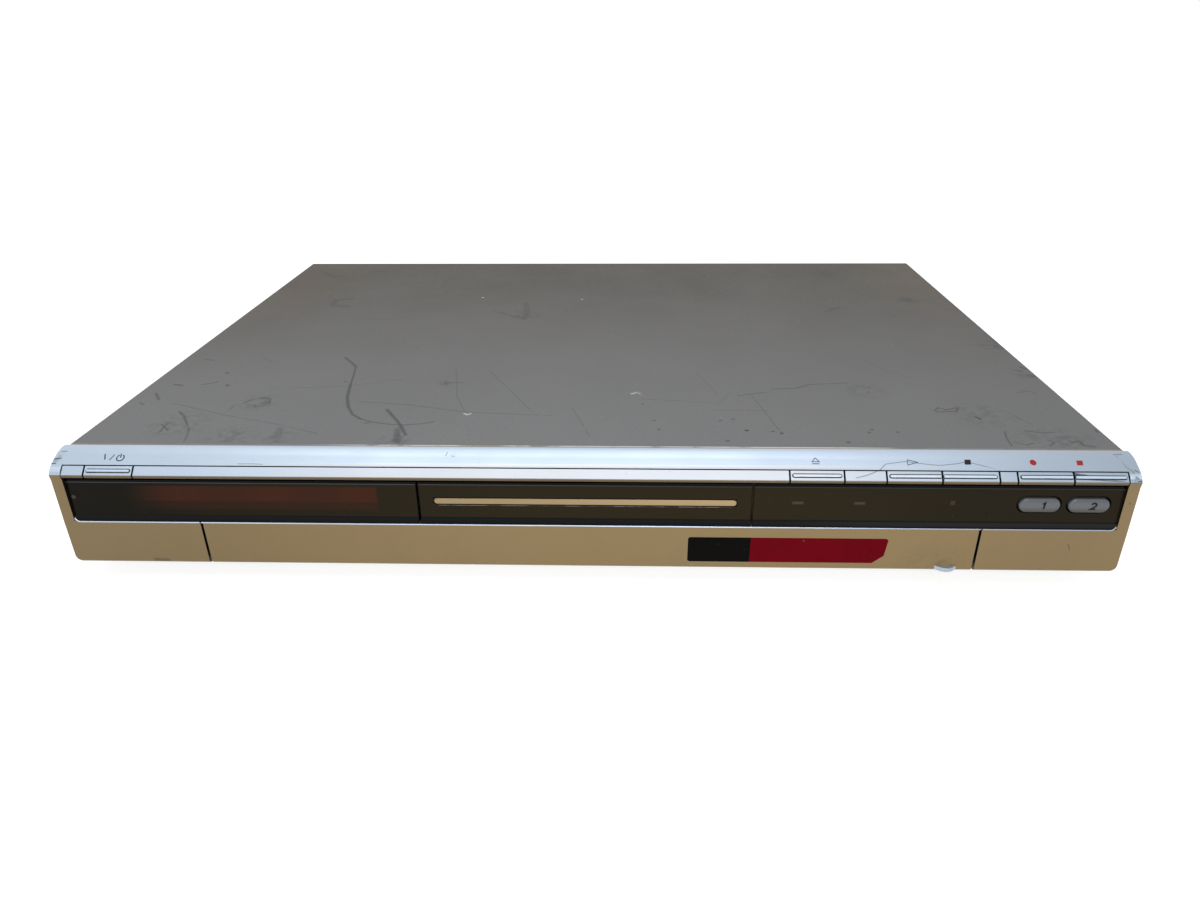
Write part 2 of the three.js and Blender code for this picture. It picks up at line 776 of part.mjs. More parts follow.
function disc_clamp() {
  const low = turntable_lift - disc_well_depth + tray_height + disc_wall + 3 * fit_gap + tray_rise;
  const top = drive_height + fit_gap;
  const shoulder = low + clamp_disc_height;
  return turned([[0, low + hub_height], [disc_bore, low + hub_height], [disc_bore, low], [clamp_radius, low],
    [clamp_radius, shoulder], [clamp_neck_radius, shoulder], [clamp_neck_radius, top],
    [clamp_flange_radius, top], [clamp_flange_radius, top + clamp_flange_height],
    [0, top + clamp_flange_height]], facets.plain);
}

// A toothed wheel on Z with straight-sided teeth, thinned for running clearance
function toothed(teeth, z, bore, phase) {
  const pitch = (teeth * tooth_module) / 2;
  const outline = [];
  const tooth_shares = [[-0.27, -1.15], [-0.12, 0.8], [0.12, 0.8], [0.27, -1.15]];
  for (let k = 0; k < teeth; k += 1) {
    for (const [turn_share, rise_share] of tooth_shares) {
      const angle = ((k + turn_share) * 2 * Math.PI) / teeth + phase;
      const radius = pitch + rise_share * tooth_module;
      outline.push([radius * Math.cos(angle), radius * Math.sin(angle)]);
    }
  }
  const hole = round('z', bore, [0, 0], z[0] - overrun, z[1] + overrun, facets.small);
  return prism('z', outline, z[0], z[1]).subtract(hole);
}

function loading_gear() {
  const low = gear_low();
  const wheel = toothed(wheel_teeth, [low, low + gear_wall], axle_radius + bore_gap, 0);
  const pinion = toothed(pinion_teeth, [low + gear_wall - sheet / 2, tray_rise - fit_gap],
    axle_radius + bore_gap, Math.PI);
  return wheel.add(pinion);
}

function gear_low() {
  return tray_rise - rack_height - gear_wall - fit_gap * 2;
}

function motor_gear() {
  const phase = Math.PI + Math.PI / motor_teeth;
  return toothed(motor_teeth, [gear_low(), gear_low() + gear_wall], shaft_radius + bore_gap, phase);
}

function loading_motor() {
  const can = round('z', loading_motor_radius, [0, 0], drive_floor, drive_floor + loading_motor_height);
  return can.add(round('z', shaft_radius, [0, 0], drive_floor + overrun, gear_low() + gear_wall,
    facets.small));
}

// Disc tray with its well, slot and rack
function disc_tray() {
  const half = tray_width / 2;
  const y = [frame_front, tray_back];
  const centre = [0, disc_y];
  const plate = block([-half, half], y, [0, tray_height]);
  const through = [-overrun, tray_height + overrun];
  const well = round('z', disc_radius + disc_well_gap, centre, tray_height - disc_well_depth, through[1],
    facets.fine);
  const slot = prism('z', stadium(tray_back, tray_slot_width, 0, 0), ...through, facets.small)
    .rotate([0, 0, 90]).translate([0, disc_y - tray_slot_start + tray_back / 2, 0]);
  const tail = block(span(0, tray_width - 4 * rail_reach - 2 * frame_border),
    [disc_y + disc_radius + frame_border, tray_back + overrun], through);
  return cut(plate, [well, slot, tail]).add(tray_rack());
}

function tray_rack() {
  const pitch = Math.PI * tooth_module;
  const base = -tray_width / 2 + rack_inset;
  const line = base + rack_back + tooth_module;
  const start = gear_y;
  const teeth = Math.ceil(tray_travel / pitch) + 1;
  const first = start - 1.5 * pitch;
  const outline = [[base, first]];
  const tooth_shares = [[-0.29, -0.9], [-0.12, 0.75], [0.12, 0.75], [0.29, -0.9]];
  for (let k = -1; k <= teeth; k += 1) {
    for (const [step_share, rise_share] of tooth_shares) {
      outline.push([line + rise_share * tooth_module, start + (k + 0.5 + step_share) * pitch]);
    }
  }
  const last = start + (teeth + 1) * pitch;
  outline.push([base, last]);
  return prism('z', outline.reverse(), -rack_height, fit_gap);
}

function tray_front() {
  const x = span(tray_front_place, tray_front_width);
  const block_front = prism('x', window_outline(), x[0], x[1]);
  const outline = stadium(stripe_width, stripe_height, tray_front_place, window_bottom + stripe_rise);
  return block_front.subtract(prism('y', outline, 0, window_setback + stripe_depth + fit_gap));
}

function tray_stripe() {
  const outline = stadium(stripe_width - 2 * fit_gap, stripe_height - 2 * fit_gap, tray_front_place,
    window_bottom + stripe_rise);
  const front = window_setback + stripe_depth;
  return prism('y', outline, front - stripe_depth / 2, front + fit_gap);
}

// Traverse, in the case's frame: the plate that carries the motor and the pickup
function traverse_plate() {
  const half = traverse_width / 2;
  const z = [plate_top_z - traverse_wall, plate_top_z];
  const y = [disc_y - traverse_front, traverse_pivot_y + traverse_pin_radius];
  const window_y = [disc_y + spindle_radius + fit_gap * 3, pickup_far_y];
  const window_hole = block(span(0, 2 * (guide_rod_spread - post_width / 2 - screw_radius)), window_y,
    [z[0] - overrun, z[1] + overrun]);
  const rods = [[-guide_rod_spread, guide_rod_radius], [guide_rod_spread, guide_rod_radius],
    [-screw_place, screw_radius]];
  const posts = rods.flatMap(([x, radius]) => window_y.map((edge, end) => {
    const post_y = end ? [edge, edge + post_width] : [edge - post_width, edge];
    return block(span(x, post_width), post_y, [z[0], z[1] + guide_rod_rise + radius]);
  }));
  const pins = [-1, 1].map((hand) => round('x', traverse_pin_radius,
    [traverse_pivot_y, plate_top_z - traverse_wall / 2],
    ...beside(hand, half - sheet, half + traverse_pin_length), facets.small));
  return join([block([-half, half], y, z).subtract(window_hole), ...posts, ...pins]);
}

function spindle_motor() {
  const low = plate_top_z + fit_gap;
  const can = round('z', spindle_radius, [0, disc_y], low, low + spindle_height);
  return can.add(round('z', shaft_radius, [0, disc_y], plate_top_z + sheet, turntable_z + hub_height / 2,
    facets.small));
}

function turntable() {
  const low = turntable_z - turntable_wall;
  const bore = shaft_radius + bore_gap / 2;
  const hub_top = turntable_z + hub_height;
  return turned([[bore, low], [turntable_radius, low], [turntable_radius, turntable_z],
    [disc_bore - fit_gap, turntable_z], [disc_bore - 2 * hub_height, hub_top], [bore, hub_top], [bore, low]],
  facets.plain).translate([0, disc_y, 0]);
}

function pickup_y() {
  return [disc_y + pickup_start - pickup_length / 2, disc_y + pickup_start + pickup_length / 2];
}

function optical_pickup() {
  const z = [plate_top_z + sheet / 2, plate_top_z + pickup_height];
  const y = pickup_y();
  const arm_z = [z[0], plate_top_z + guide_rod_rise + 2 * guide_rod_radius];
  const body = block(span(0, pickup_width), y, z);
  const arm = block([-screw_place - post_width / 2, guide_rod_spread + post_width / 2],
    span(disc_y + pickup_start, pickup_length / 2), arm_z);
  const rod_z = plate_top_z + guide_rod_rise;
  const rods = [[-guide_rod_spread, guide_rod_radius], [guide_rod_spread, guide_rod_radius],
    [-screw_place, screw_radius]];
  const bores = rods.map(([x, radius]) => round('y', radius + fit_gap, [x, rod_z], y[0] - overrun,
    y[1] + overrun, facets.small));
  const lens = round('z', lens_radius, [0, disc_y + pickup_start], z[1] - lens_height,
    z[1] + lens_height / 2, facets.small);
  return cut(join([body, arm]), bores).add(lens);
}

function rod_span() {
  return [disc_y + spindle_radius + fit_gap * 4, pickup_far_y - fit_gap];
}

function guide_rod(x) {
  return round('y', guide_rod_radius, [x, plate_top_z + guide_rod_rise], ...rod_span(), facets.small);
}

function lead_screw() {
  return round('y', screw_radius, [-screw_place, plate_top_z + guide_rod_rise], ...rod_span(), facets.small);
}

// Hard disk: a casting with a stepped lid, its board and the bracket under it
function hard_disk_body() {
  const x = span(disk_place, disk_width);
  const y = [disk_setback, disk_setback + disk_length];
  const z = [pan_top + disk_stand + disk_board_wall + fit_gap, pan_top + disk_stand + disk_height];
  const casting = prism('z', rounded_outline(x, y, disk_corner), z[0], z[1] - disk_lid_wall);
  const lid = prism('z', rounded_outline([x[0] + disk_lid_inset, x[1] - disk_lid_inset],
    [y[0] + disk_lid_inset, y[1] - disk_lid_inset], disk_corner), z[0] + disk_lid_wall, z[1]);
  return casting.add(lid);
}

function hard_disk_board() {
  const x = span(disk_place, disk_width - 2 * disk_lid_inset);
  return block(x, [disk_setback + disk_lid_inset, disk_setback + disk_length - disk_lid_inset],
    [pan_top + disk_stand, pan_top + disk_stand + disk_board_wall]);
}

function hard_disk_bracket() {
  const x = span(disk_place, disk_width + 2 * bracket_margin);
  const y = [disk_setback - bracket_margin, disk_setback + disk_length + bracket_margin];
  const z = pan_top + disk_stand - fit_gap;
  const plate = block(x, y, [z - bracket_wall, z]);
  const left_leg = block([x[0], x[0] + bracket_wall], y, [pan_top, z]);
  const right_leg = block([x[1] - bracket_wall, x[1]], y, [pan_top, z]);
  return join([plate, left_leg, right_leg]);
}

// Power supply
function transformer() {
  const x = span(0, transformer_width);
  const y = span(0, transformer_length);
  const core = block(x, span(0, transformer_core), [0, transformer_height]);
  const winding = prism('z', rounded_outline([x[0] + winding_inset, x[1] - winding_inset], y, disk_corner),
    winding_inset, transformer_height - winding_inset);
  const foot_plate = block(x, y, [0, winding_inset]);
  return join([core, winding, foot_plate]);
}

function power_heat_sink() {
  const spine = block(span(0, sink_width), span(0, sink_fin), [0, sink_height]);
  const pitch = (sink_width - sink_fin) / (sink_fins - 1);
  const fins = Array.from({ length: sink_fins }, (_, k) => {
    const x = -sink_width / 2 + k * pitch;
    return block([x, x + sink_fin], [0, sink_fin_reach], [0, sink_height]);
  });
  return join([spine, ...fins]);
}

function capacitor() {
  return turned([[0, 0], [capacitor_radius, 0], [capacitor_radius, capacitor_height - sheet],
    [capacitor_radius - sheet, capacitor_height], [0, capacitor_height]], facets.plain);
}

function chip_heat_sink() {
  const base = block(span(0, chip_sink_width), span(0, chip_sink_width), [0, sink_fin]);
  const fins = Array.from({ length: sink_fins }, (_, k) => {
    const x = -chip_sink_width / 2 + (k * (chip_sink_width - sink_fin)) / (sink_fins - 1);
    return block([x, x + sink_fin], span(0, chip_sink_width), [0, chip_sink_height]);
  });
  return join([base, ...fins]);
}

// Fan, about its own axis on Y
function fan_frame() {
  const half = fan_width / 2;
  const body = prism('y', rounded_outline([-half, half], [-half, half], disk_corner), 0, fan_depth);
  const bore = round('y', fan_bore, [0, 0], -overrun, fan_depth + overrun, facets.round);
  const hub = round('y', fan_hub - sheet, [0, 0], fan_depth - sheet, fan_depth, facets.plain);
  const struts = fan_strut_angles.map((angle) => block([0, fan_bore + overrun],
    [fan_depth - sheet, fan_depth], span(0, fan_blade_wall)).rotate([0, angle, 0]));
  return join([body.subtract(bore), hub, ...struts]);
}

function fan_rotor() {
  const depth = [fit_gap, fan_depth - sheet - fit_gap];
  const hub = round('y', fan_hub, [0, 0], depth[0], depth[1], facets.plain);
  const blade = block([fan_hub - sheet, fan_bore - 2 * fit_gap],
    span((depth[0] + depth[1]) / 2, fan_blade_length), span(0, fan_blade_wall))
    .rotate([fan_blade_pitch, 0, 0]);
  const blades = Array.from({ length: fan_blades }, (_, k) => blade.rotate([0, (k * 360) / fan_blades, 0]));
  const sweep = round('y', fan_bore - 2 * fit_gap, [0, 0], depth[0], depth[1], facets.round);
  return hub.add(join(blades).intersect(sweep));
}

// Rear sockets, each about the middle of its face, with y from the rear plate's outer side
function twin_socket() {
  const body = block(span(0, twin_socket_width), [-twin_socket_depth, rear_socket_reach],
    span(0, twin_socket_height));
  const slots = [-1, 1].map((hand) => block(span((hand * twin_socket_width) / 4, twin_slot_width),
    [rear_socket_reach - twin_slot_depth, rear_socket_reach + overrun], span(0, twin_slot_height)));
  return cut(body, slots);
}

// Places about the middle of a row, at one pitch
function row_places(count, pitch) {
  return Array.from({ length: count }, (_, k) => (k - (count - 1) / 2) * pitch);
}

function rear_jack_places() {
  const columns = row_places(rear_jack_columns, rear_jack_pitch);
  return columns.flatMap((x) => [0, rear_jack_pitch].map((z) => [x, z]));
}

function rear_jack_block() {
  const body = block(span(0, rear_jack_width), [-rear_jack_depth - sheet - fit_gap, -sheet - fit_gap],
    [-rear_jack_body / 2, rear_jack_pitch + rear_jack_body / 2]);
  const reach = 2 * phono_reach;
  const places = rear_jack_places();
  const barrels = places.map((place) => round('y', phono_radius, place, -sheet - overrun, reach));
  const bores = places.map((place) => round('y', phono_bore, place, -rear_jack_depth / 2,
    reach + overrun, facets.small));
  return cut(join([body, ...barrels]), bores);
}

function tuner_module() {
  const can = block(span(0, tuner_width), [-tuner_length - sheet - fit_gap, -sheet - fit_gap],
    span(0, tuner_height));
  const places = [-1, 1].map((hand) => [(hand * aerial_pitch) / 2, 0]);
  const barrels = places.map((place) => round('y', aerial_radius, place, -sheet - overrun, aerial_reach));
  const bores = places.map((place) => round('y', aerial_bore, place, -sheet, aerial_reach + overrun,
    facets.small));
  return cut(join([can, ...barrels]), bores);
}

function mains_inlet() {
  const body = block(span(0, inlet_width), [-inlet_depth, rear_socket_reach], span(0, inlet_height));
  const well = prism('y', stadium(inlet_width - 2 * inlet_wall, inlet_height - 2 * inlet_wall, 0, 0),
    rear_socket_reach - inlet_well_depth, rear_socket_reach + overrun);
  const pins = [-1, 1].map((hand) => round('y', inlet_pin, [(hand * (inlet_width - inlet_height)) / 2, 0],
    rear_socket_reach - inlet_well_depth - overrun, rear_socket_reach - sheet, facets.small));
  return join([body.subtract(well), ...pins]);
}

// Where each rear piece sits, and the hole that the rear plate has for it
const socket_z = board_z + board_wall + fit_gap;
const rear_places = {
  mains_inlet: [inlet_place, socket_z + inlet_height / 2],
  twin_av_socket: [twin_socket_place, socket_z + twin_socket_height / 2],
  rear_jack_block: [rear_jack_place, socket_z + rear_jack_body / 2],
  tuner_module: [tuner_place, socket_z + tuner_height / 2],
  fan_frame: [fan_place, pan_top + fit_gap + fan_width / 2],
};

function rear_panel() {
  const side = half_width - sheet - fit_gap;
  const y = [plate_z, plate_z + sheet];
  const through = [y[0] - overrun, y[1] + overrun];
  const plate = block([-side, side], y, [pan_top + fit_gap, roof_z - sheet - fit_gap]);
  const box_hole = ([x, z], width, height) => block(span(x, width + 2 * fit_gap), through,
    span(z, height + 2 * fit_gap));
  const [jacks_x, jacks_z] = rear_places.rear_jack_block;
  const jack_holes = rear_jack_places().map(([x, z]) => round('y', phono_radius + fit_gap,
    [jacks_x + x, jacks_z + z], ...through));
  const aerial_holes = [-1, 1].map((hand) => round('y', aerial_radius + fit_gap,
    [tuner_place + (hand * aerial_pitch) / 2, rear_places.tuner_module[1]], ...through));
  const fan_slots = row_places(grille_slots, grille_pitch).map((z) => block(span(fan_place, grille_width),
    through, span(rear_places.fan_frame[1] + z, grille_slot)));
  return cut(plate, [box_hole(rear_places.mains_inlet, inlet_width, inlet_height),
    box_hole(rear_places.twin_av_socket, twin_socket_width, twin_socket_height), ...jack_holes,
    ...aerial_holes, ...fan_slots]);
}

// Assembly: the rear sockets and the flap's tab share the overhang, so the box's middle is the origin
const recorder = new THREE.Group();
const tab_overhang = tab_front_overhang();
recorder.position.y = -(rear_y - rear_plate_inset + aerial_reach - tab_overhang) / 2;

function tab_front_overhang() {
  const low = foot_height;
  return tab_reach - face_front(low) - lip_setback / 2;
}

function placed(name, shape, finish, group, x, y, z) {
  const mesh = piece(name, shape, finish, group);
  mesh.position.set(x, y, z);
  return mesh;
}

piece('base_pan', base_pan(), 'zinc_steel', recorder);
piece('top_cover', top_cover(), 'grey_steel', recorder);
piece('rear_panel', rear_panel(), 'zinc_steel', recorder);
piece('front_bezel', front_bezel(), 'silver_paint', recorder);
piece('key_rail', key_rail(), 'pearl_key', recorder);
const rear_foot_y = rear_y - foot_inset_rear;
for (const [name, hand, y] of [['front_left_foot', -1, foot_inset_front],
  ['front_right_foot', 1, foot_inset_front], ['rear_left_foot', -1, rear_foot_y],
  ['rear_right_foot', 1, rear_foot_y]]) {
  placed(name, foot(), 'rubber', recorder, hand * (half_width - foot_inset_x), y, 0);
}
rail_segments.forEach((name, index) => {
  if (name) piece(name, rail_key(index), 'pearl_key', recorder);
});
piece('display_window', display_window(), 'window_glass', recorder);
piece('indicator_window', indicator_window(), 'window_glass', recorder);
for (const [name, x] of Object.entries(drive_key_places)) {
  placed(name, drive_key(), 'key_grey', recorder, x, window_setback - drive_key_proud,
    window_bottom + drive_key_rise);
}
piece('front_flap', front_flap(), 'taupe_paint', recorder);
piece('input_panel', input_panel(), 'black_plastic', recorder);
const input_z = pan_top + input_row_rise;
const input_y = input_panel_setback + input_panel_wall + fit_gap;
const jack_finishes = { video_in_jack: 'jack_yellow', audio_left_in_jack: 'jack_white',
  audio_right_in_jack: 'jack_red' };
for (const [name, finish] of Object.entries(jack_finishes)) {
  placed(name, phono_jack(phono_body, phono_radius, phono_bore, phono_reach, phono_body_depth), finish,
    recorder, input_places[name], input_y, input_z);
}
placed('round_video_in_socket', phono_jack(phono_body + 2 * fit_gap, round_socket_radius - fit_gap,
  round_socket_bore, phono_reach / 2, phono_body_depth), 'black_plastic', recorder,
input_places.round_video_in_socket, input_y, input_z);
const input_board_x = [input_start - phono_body / 2 - input_board_margin,
  input_places.audio_right_in_jack + phono_body / 2 + input_board_margin];
const input_board_y = [input_y + sheet, input_y + sheet + input_board_depth];
piece('input_board', block(input_board_x, input_board_y, [pan_top, pan_top + board_wall]), 'board_tan',
  recorder);
piece('display_board', block([-rail_end + frame_border, -drive_width / 2 - component_side_gap],
  [front_board_y, front_board_y + board_wall],
  [pan_top + front_board_rise * 3, pan_top + front_board_rise + front_board_height]), 'board_tan', recorder);
piece('key_board', block([drive_width / 2 + component_side_gap, rail_end - frame_border],
  [frame_back + component_side_gap / 2, frame_back + component_side_gap / 2 + board_wall],
  [window_bottom + fit_gap, window_bottom + key_board_height - sheet]), 'board_tan', recorder);
piece('display_tube', display_tube(), 'display_glass', recorder);

const loader = new THREE.Group();
loader.position.set(0, drive_setback, pan_top + drive_stand);
recorder.add(loader);
piece('loader_frame', loader_frame(), 'black_plastic', loader);
piece('loader_cover', loader_cover(), 'zinc_steel', loader);
placed('disc_clamp', disc_clamp(), 'white_plastic', loader, 0, disc_y - drive_setback, 0);
placed('loading_gear', loading_gear(), 'white_plastic', loader, gear_x(), gear_place, 0);
const motor_reach = ((wheel_teeth + motor_teeth) * tooth_module) / 2 + bore_gap;
placed('motor_gear', motor_gear(), 'amber_plastic', loader, gear_x() + motor_reach, gear_place, 0);
placed('loading_motor', loading_motor(), 'cast_alloy', loader, gear_x() + motor_reach, gear_place, 0);

placed('disc_tray', disc_tray(), 'black_plastic', recorder, 0, 0, tray_z);
piece('tray_front', tray_front(), 'window_glass', recorder);
piece('tray_stripe', tray_stripe(), 'stripe_gold', recorder);
piece('traverse_plate', traverse_plate(), 'zinc_steel', recorder);
piece('spindle_motor', spindle_motor(), 'cast_alloy', recorder);
piece('turntable', turntable(), 'black_plastic', recorder);
piece('optical_pickup', optical_pickup(), 'cast_alloy', recorder);
piece('left_guide_rod', guide_rod(-guide_rod_spread), 'polished_steel', recorder);
piece('right_guide_rod', guide_rod(guide_rod_spread), 'polished_steel', recorder);
piece('lead_screw', lead_screw(), 'polished_steel', recorder);
piece('hard_disk_body', hard_disk_body(), 'cast_alloy', recorder);
piece('hard_disk_board', hard_disk_board(), 'board_green', recorder);
piece('hard_disk_bracket', hard_disk_bracket(), 'zinc_steel', recorder);

const power_x = span(power_place, power_width);
const power_y = [power_setback, power_setback + power_length];
const power_top = board_z + board_wall;
piece('power_board', block(power_x, power_y, [board_z, power_top]), 'board_tan', recorder);
placed('transformer', transformer(), 'winding_tape', recorder, power_place, (power_y[0] + power_y[1]) / 2,
  power_top);
placed('power_heat_sink', power_heat_sink(), 'cast_alloy', recorder, power_place,
  power_setback + power_length * sink_place_share, power_top);
placed('main_capacitor', capacitor(), 'capacitor_sleeve', recorder, power_x[0] + 2 * capacitor_radius,
  power_y[1] - 2 * capacitor_radius, power_top);
piece('main_board', block(span(main_place, main_width), [main_front, main_front + main_length],
  [board_z, power_top]), 'board_green', recorder);
placed('chip_heat_sink', chip_heat_sink(), 'cast_alloy', recorder, main_place - chip_sink_width,
  main_front + chip_sink_width, power_top);

const rear_face = plate_z + sheet;
const rear_pieces = { mains_inlet: [mains_inlet, 'black_plastic'],
  twin_av_socket: [twin_socket, 'black_plastic'],
  rear_jack_block: [rear_jack_block, 'grey_plastic'], tuner_module: [tuner_module, 'zinc_steel'] };
for (const [name, [shape, finish]] of Object.entries(rear_pieces)) {
  placed(name, shape(), finish, recorder, rear_places[name][0], rear_face, rear_places[name][1]);
}
const fan_y = plate_z - fit_gap - fan_depth;
placed('fan_frame', fan_frame(), 'black_plastic', recorder, fan_place, fan_y, rear_places.fan_frame[1]);
placed('fan_rotor', fan_rotor(), 'black_plastic', recorder, fan_place, fan_y, rear_places.fan_frame[1]);

export default recorder;
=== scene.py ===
"""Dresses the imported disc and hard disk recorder: rounded pieces, finishes, marks, light and camera."""
import json
import math

import bmesh
import bpy
from bpy.props import FloatProperty, FloatVectorProperty, IntProperty, PointerProperty
from mathutils import Matrix, Vector
from mathutils.bvhtree import BVHTree

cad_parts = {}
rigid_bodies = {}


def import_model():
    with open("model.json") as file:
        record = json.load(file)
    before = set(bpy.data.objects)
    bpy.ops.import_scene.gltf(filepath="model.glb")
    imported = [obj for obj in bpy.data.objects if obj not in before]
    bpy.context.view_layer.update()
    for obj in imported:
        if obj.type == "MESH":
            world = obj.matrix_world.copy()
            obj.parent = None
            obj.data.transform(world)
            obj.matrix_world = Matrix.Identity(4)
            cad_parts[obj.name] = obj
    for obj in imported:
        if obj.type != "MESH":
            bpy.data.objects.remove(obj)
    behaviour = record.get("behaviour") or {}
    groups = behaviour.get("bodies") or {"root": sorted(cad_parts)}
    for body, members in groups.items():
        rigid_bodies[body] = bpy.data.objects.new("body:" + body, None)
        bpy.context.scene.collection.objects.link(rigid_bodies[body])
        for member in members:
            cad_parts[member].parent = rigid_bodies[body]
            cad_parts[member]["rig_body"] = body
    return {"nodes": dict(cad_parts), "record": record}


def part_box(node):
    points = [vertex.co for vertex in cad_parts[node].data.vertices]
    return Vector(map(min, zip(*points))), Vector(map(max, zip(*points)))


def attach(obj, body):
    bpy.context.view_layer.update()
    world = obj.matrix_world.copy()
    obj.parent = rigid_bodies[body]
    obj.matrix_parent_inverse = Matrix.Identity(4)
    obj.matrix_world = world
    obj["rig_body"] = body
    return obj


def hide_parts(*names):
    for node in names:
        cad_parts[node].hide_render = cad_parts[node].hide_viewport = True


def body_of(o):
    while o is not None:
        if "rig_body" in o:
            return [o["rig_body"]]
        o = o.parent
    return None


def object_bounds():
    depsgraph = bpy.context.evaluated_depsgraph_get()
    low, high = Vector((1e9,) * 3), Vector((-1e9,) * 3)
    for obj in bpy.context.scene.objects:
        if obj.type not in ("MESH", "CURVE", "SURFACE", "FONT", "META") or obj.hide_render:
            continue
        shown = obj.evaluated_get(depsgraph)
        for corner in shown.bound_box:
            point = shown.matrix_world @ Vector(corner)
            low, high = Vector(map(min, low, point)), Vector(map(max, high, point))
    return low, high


bl_info = {
    "name": "Disc and Hard Disk Recorder",
    "version": (1, 0, 0),
    "blender": (4, 5, 0),
    "location": "3D View > Sidebar > Recorder",
    "description": "Builds the outer pieces, finishes and studio of a full-width disc recorder",
    "category": "Object",
}

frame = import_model()
CAD_LOW, CAD_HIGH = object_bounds()
MM = 0.001

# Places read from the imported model, in metres
KNIFE_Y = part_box("front_bezel")[0].y
ROOF_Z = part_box("top_cover")[1].z
KEY_FOOT_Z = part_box("power_key")[0].z
REAR_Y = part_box("rear_panel")[1].y

# Sizes of the front, in millimetres behind the knife edge and above the table
KEY_FRONT_HEIGHT = 1.3
KNIFE_Z = KEY_FOOT_Z / MM + KEY_FRONT_HEIGHT
SLOPE = math.sqrt(0.5)
WINDOW_SETBACK = 2.0
FLAP_HALF = 157.7
FRONT_LOW_CORNER = 1.8
LIP_BACK, LIP_RISE = 1.4, 28.5
LIP_SIZE = (1.0, 0.55)
CORNER_CENTRE = (208.0, 30.6)


def spot(x, y, z):
    """A point given in millimetres across, behind the knife edge and above the table."""
    return Vector((x * MM, KNIFE_Y + y * MM, z * MM))


# Meshes

def body_of_node(node):
    return body_of(frame["nodes"][node])[0]


def baked(obj):
    """Puts the evaluated shape into the object's own mesh and removes its modifiers."""
    graph = bpy.context.evaluated_depsgraph_get()
    shape = bpy.data.meshes.new_from_object(obj.evaluated_get(graph))
    obj.modifiers.clear()
    shape.name = obj.name
    obj.data = shape
    return obj


def link(name, mesh):
    obj = bpy.data.objects.new(name, mesh)
    bpy.context.scene.collection.objects.link(obj)
    return obj


def as_object(name, bm):
    """A plain object of a finished bmesh."""
    mesh = bpy.data.meshes.new(name)
    bm.to_mesh(mesh)
    bm.free()
    return link(name, mesh)


def opened(obj):
    """An object's mesh as a bmesh; the object itself is removed."""
    bm = bmesh.new()
    bm.from_mesh(obj.data)
    bpy.data.objects.remove(obj)
    return bm


def smoothed(bm, sharp=40.0):
    for face in bm.faces:
        face.smooth = True
    limit = math.radians(sharp)
    for edge in bm.edges:
        edge.smooth = len(edge.link_faces) == 2 and edge.calc_face_angle(0.0) < limit


def front_of(node):
    """A node's middle and size across the front, and its near and far depth, in millimetres."""
    low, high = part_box(node)
    return (((low.x + high.x) / 2 / MM, (low.z + high.z) / 2 / MM),
            ((high.x - low.x) / MM, (high.z - low.z) / MM), [(v.y - KNIFE_Y) / MM for v in (low, high)])


def rounded(bm, width, segments=2, sharp=30.0, only=None, clamp=True):
    """Bevels the edges that turn by more than an angle, in millimetres."""
    limit = math.radians(sharp)
    edges = [e for e in bm.edges if len(e.link_faces) == 2 and e.calc_face_angle(0.0) > limit
             and (only is None or only(e))]
    if edges:
        bmesh.ops.bevel(bm, geom=edges, offset=width * MM, offset_type="OFFSET", segments=segments,
                        profile=0.5, affect="EDGES", clamp_overlap=clamp)


def piece(name, bm, finish, slot, body, *replaced, bare=None):
    """Makes a named piece of a finished bmesh, which rides on a body; its last argument picks the faces that
    get painted shade in seams and gaps, or are left bare inside.
    """
    smoothed(bm)
    if bare:
        layer = bm.faces.layers.float.new("bare")
        for face in bm.faces:
            face.normal_update()
            at = face.calc_center_median()
            face[layer] = float(bare(face.normal, at.x / MM, (at.y - KNIFE_Y) / MM, at.z / MM))
    obj = as_object(name, bm)
    obj.data.materials.append(finish)
    even = obj.modifiers.new("even_normals", "WEIGHTED_NORMAL")
    even.keep_sharp = True
    baked(obj)
    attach(obj, body)
    if replaced:
        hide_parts(*replaced)
    return obj


def copied(node):
    """A node's mesh as a closed bmesh with its flat faces whole."""
    bm = bmesh.new()
    bm.from_mesh(frame["nodes"][node].data)
    bmesh.ops.remove_doubles(bm, verts=bm.verts, dist=0.002 * MM)
    bmesh.ops.dissolve_limit(bm, angle_limit=math.radians(0.2), use_dissolve_boundaries=False,
                             verts=bm.verts, edges=bm.edges)
    return bm


def dressed(node, finish, slot, width=0.2, segments=2, sharp=30.0, bare=None, ends=(0.0, 0.0), span=None):
    """A node's own shape with its edges rounded and its ends drawn in, standing in the node's place."""
    bm = copied(node)
    low, high = span or [corner.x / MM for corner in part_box(node)]
    for vert in bm.verts:
        if abs(vert.co.x - low * MM) < 0.05 * MM:
            vert.co.x += ends[0] * MM
        elif abs(vert.co.x - high * MM) < 0.05 * MM:
            vert.co.x -= ends[1] * MM
    rounded(bm, width, segments, sharp)
    return piece(node + "_dressed", bm, finish, slot, body_of_node(node), node, bare=bare)


def profile_run(outline, start, end, axis="x"):
    """A closed outline across an axis, run along it; all in millimetres."""
    make = {"x": lambda u, v, w: spot(w, u, v), "y": lambda u, v, w: spot(u, w, v)}[axis]
    bm = bmesh.new()
    rings = [[bm.verts.new(make(u, v, w)) for u, v in outline] for w in (start, end)]
    bm.faces.new(rings[0])
    bm.faces.new(rings[1][::-1])
    count = len(outline)
    for k in range(count):
        bm.faces.new((rings[0][k], rings[1][k], rings[1][(k + 1) % count], rings[0][(k + 1) % count]))
    bmesh.ops.recalc_face_normals(bm, faces=bm.faces)
    return bm


def arc(centre, radius, start, end, steps):
    """Points of an arc in degrees."""
    angles = [math.radians(start + (end - start) * k / steps) for k in range(steps + 1)]
    return [(centre[0] + radius * math.cos(a), centre[1] + radius * math.sin(a)) for a in angles]


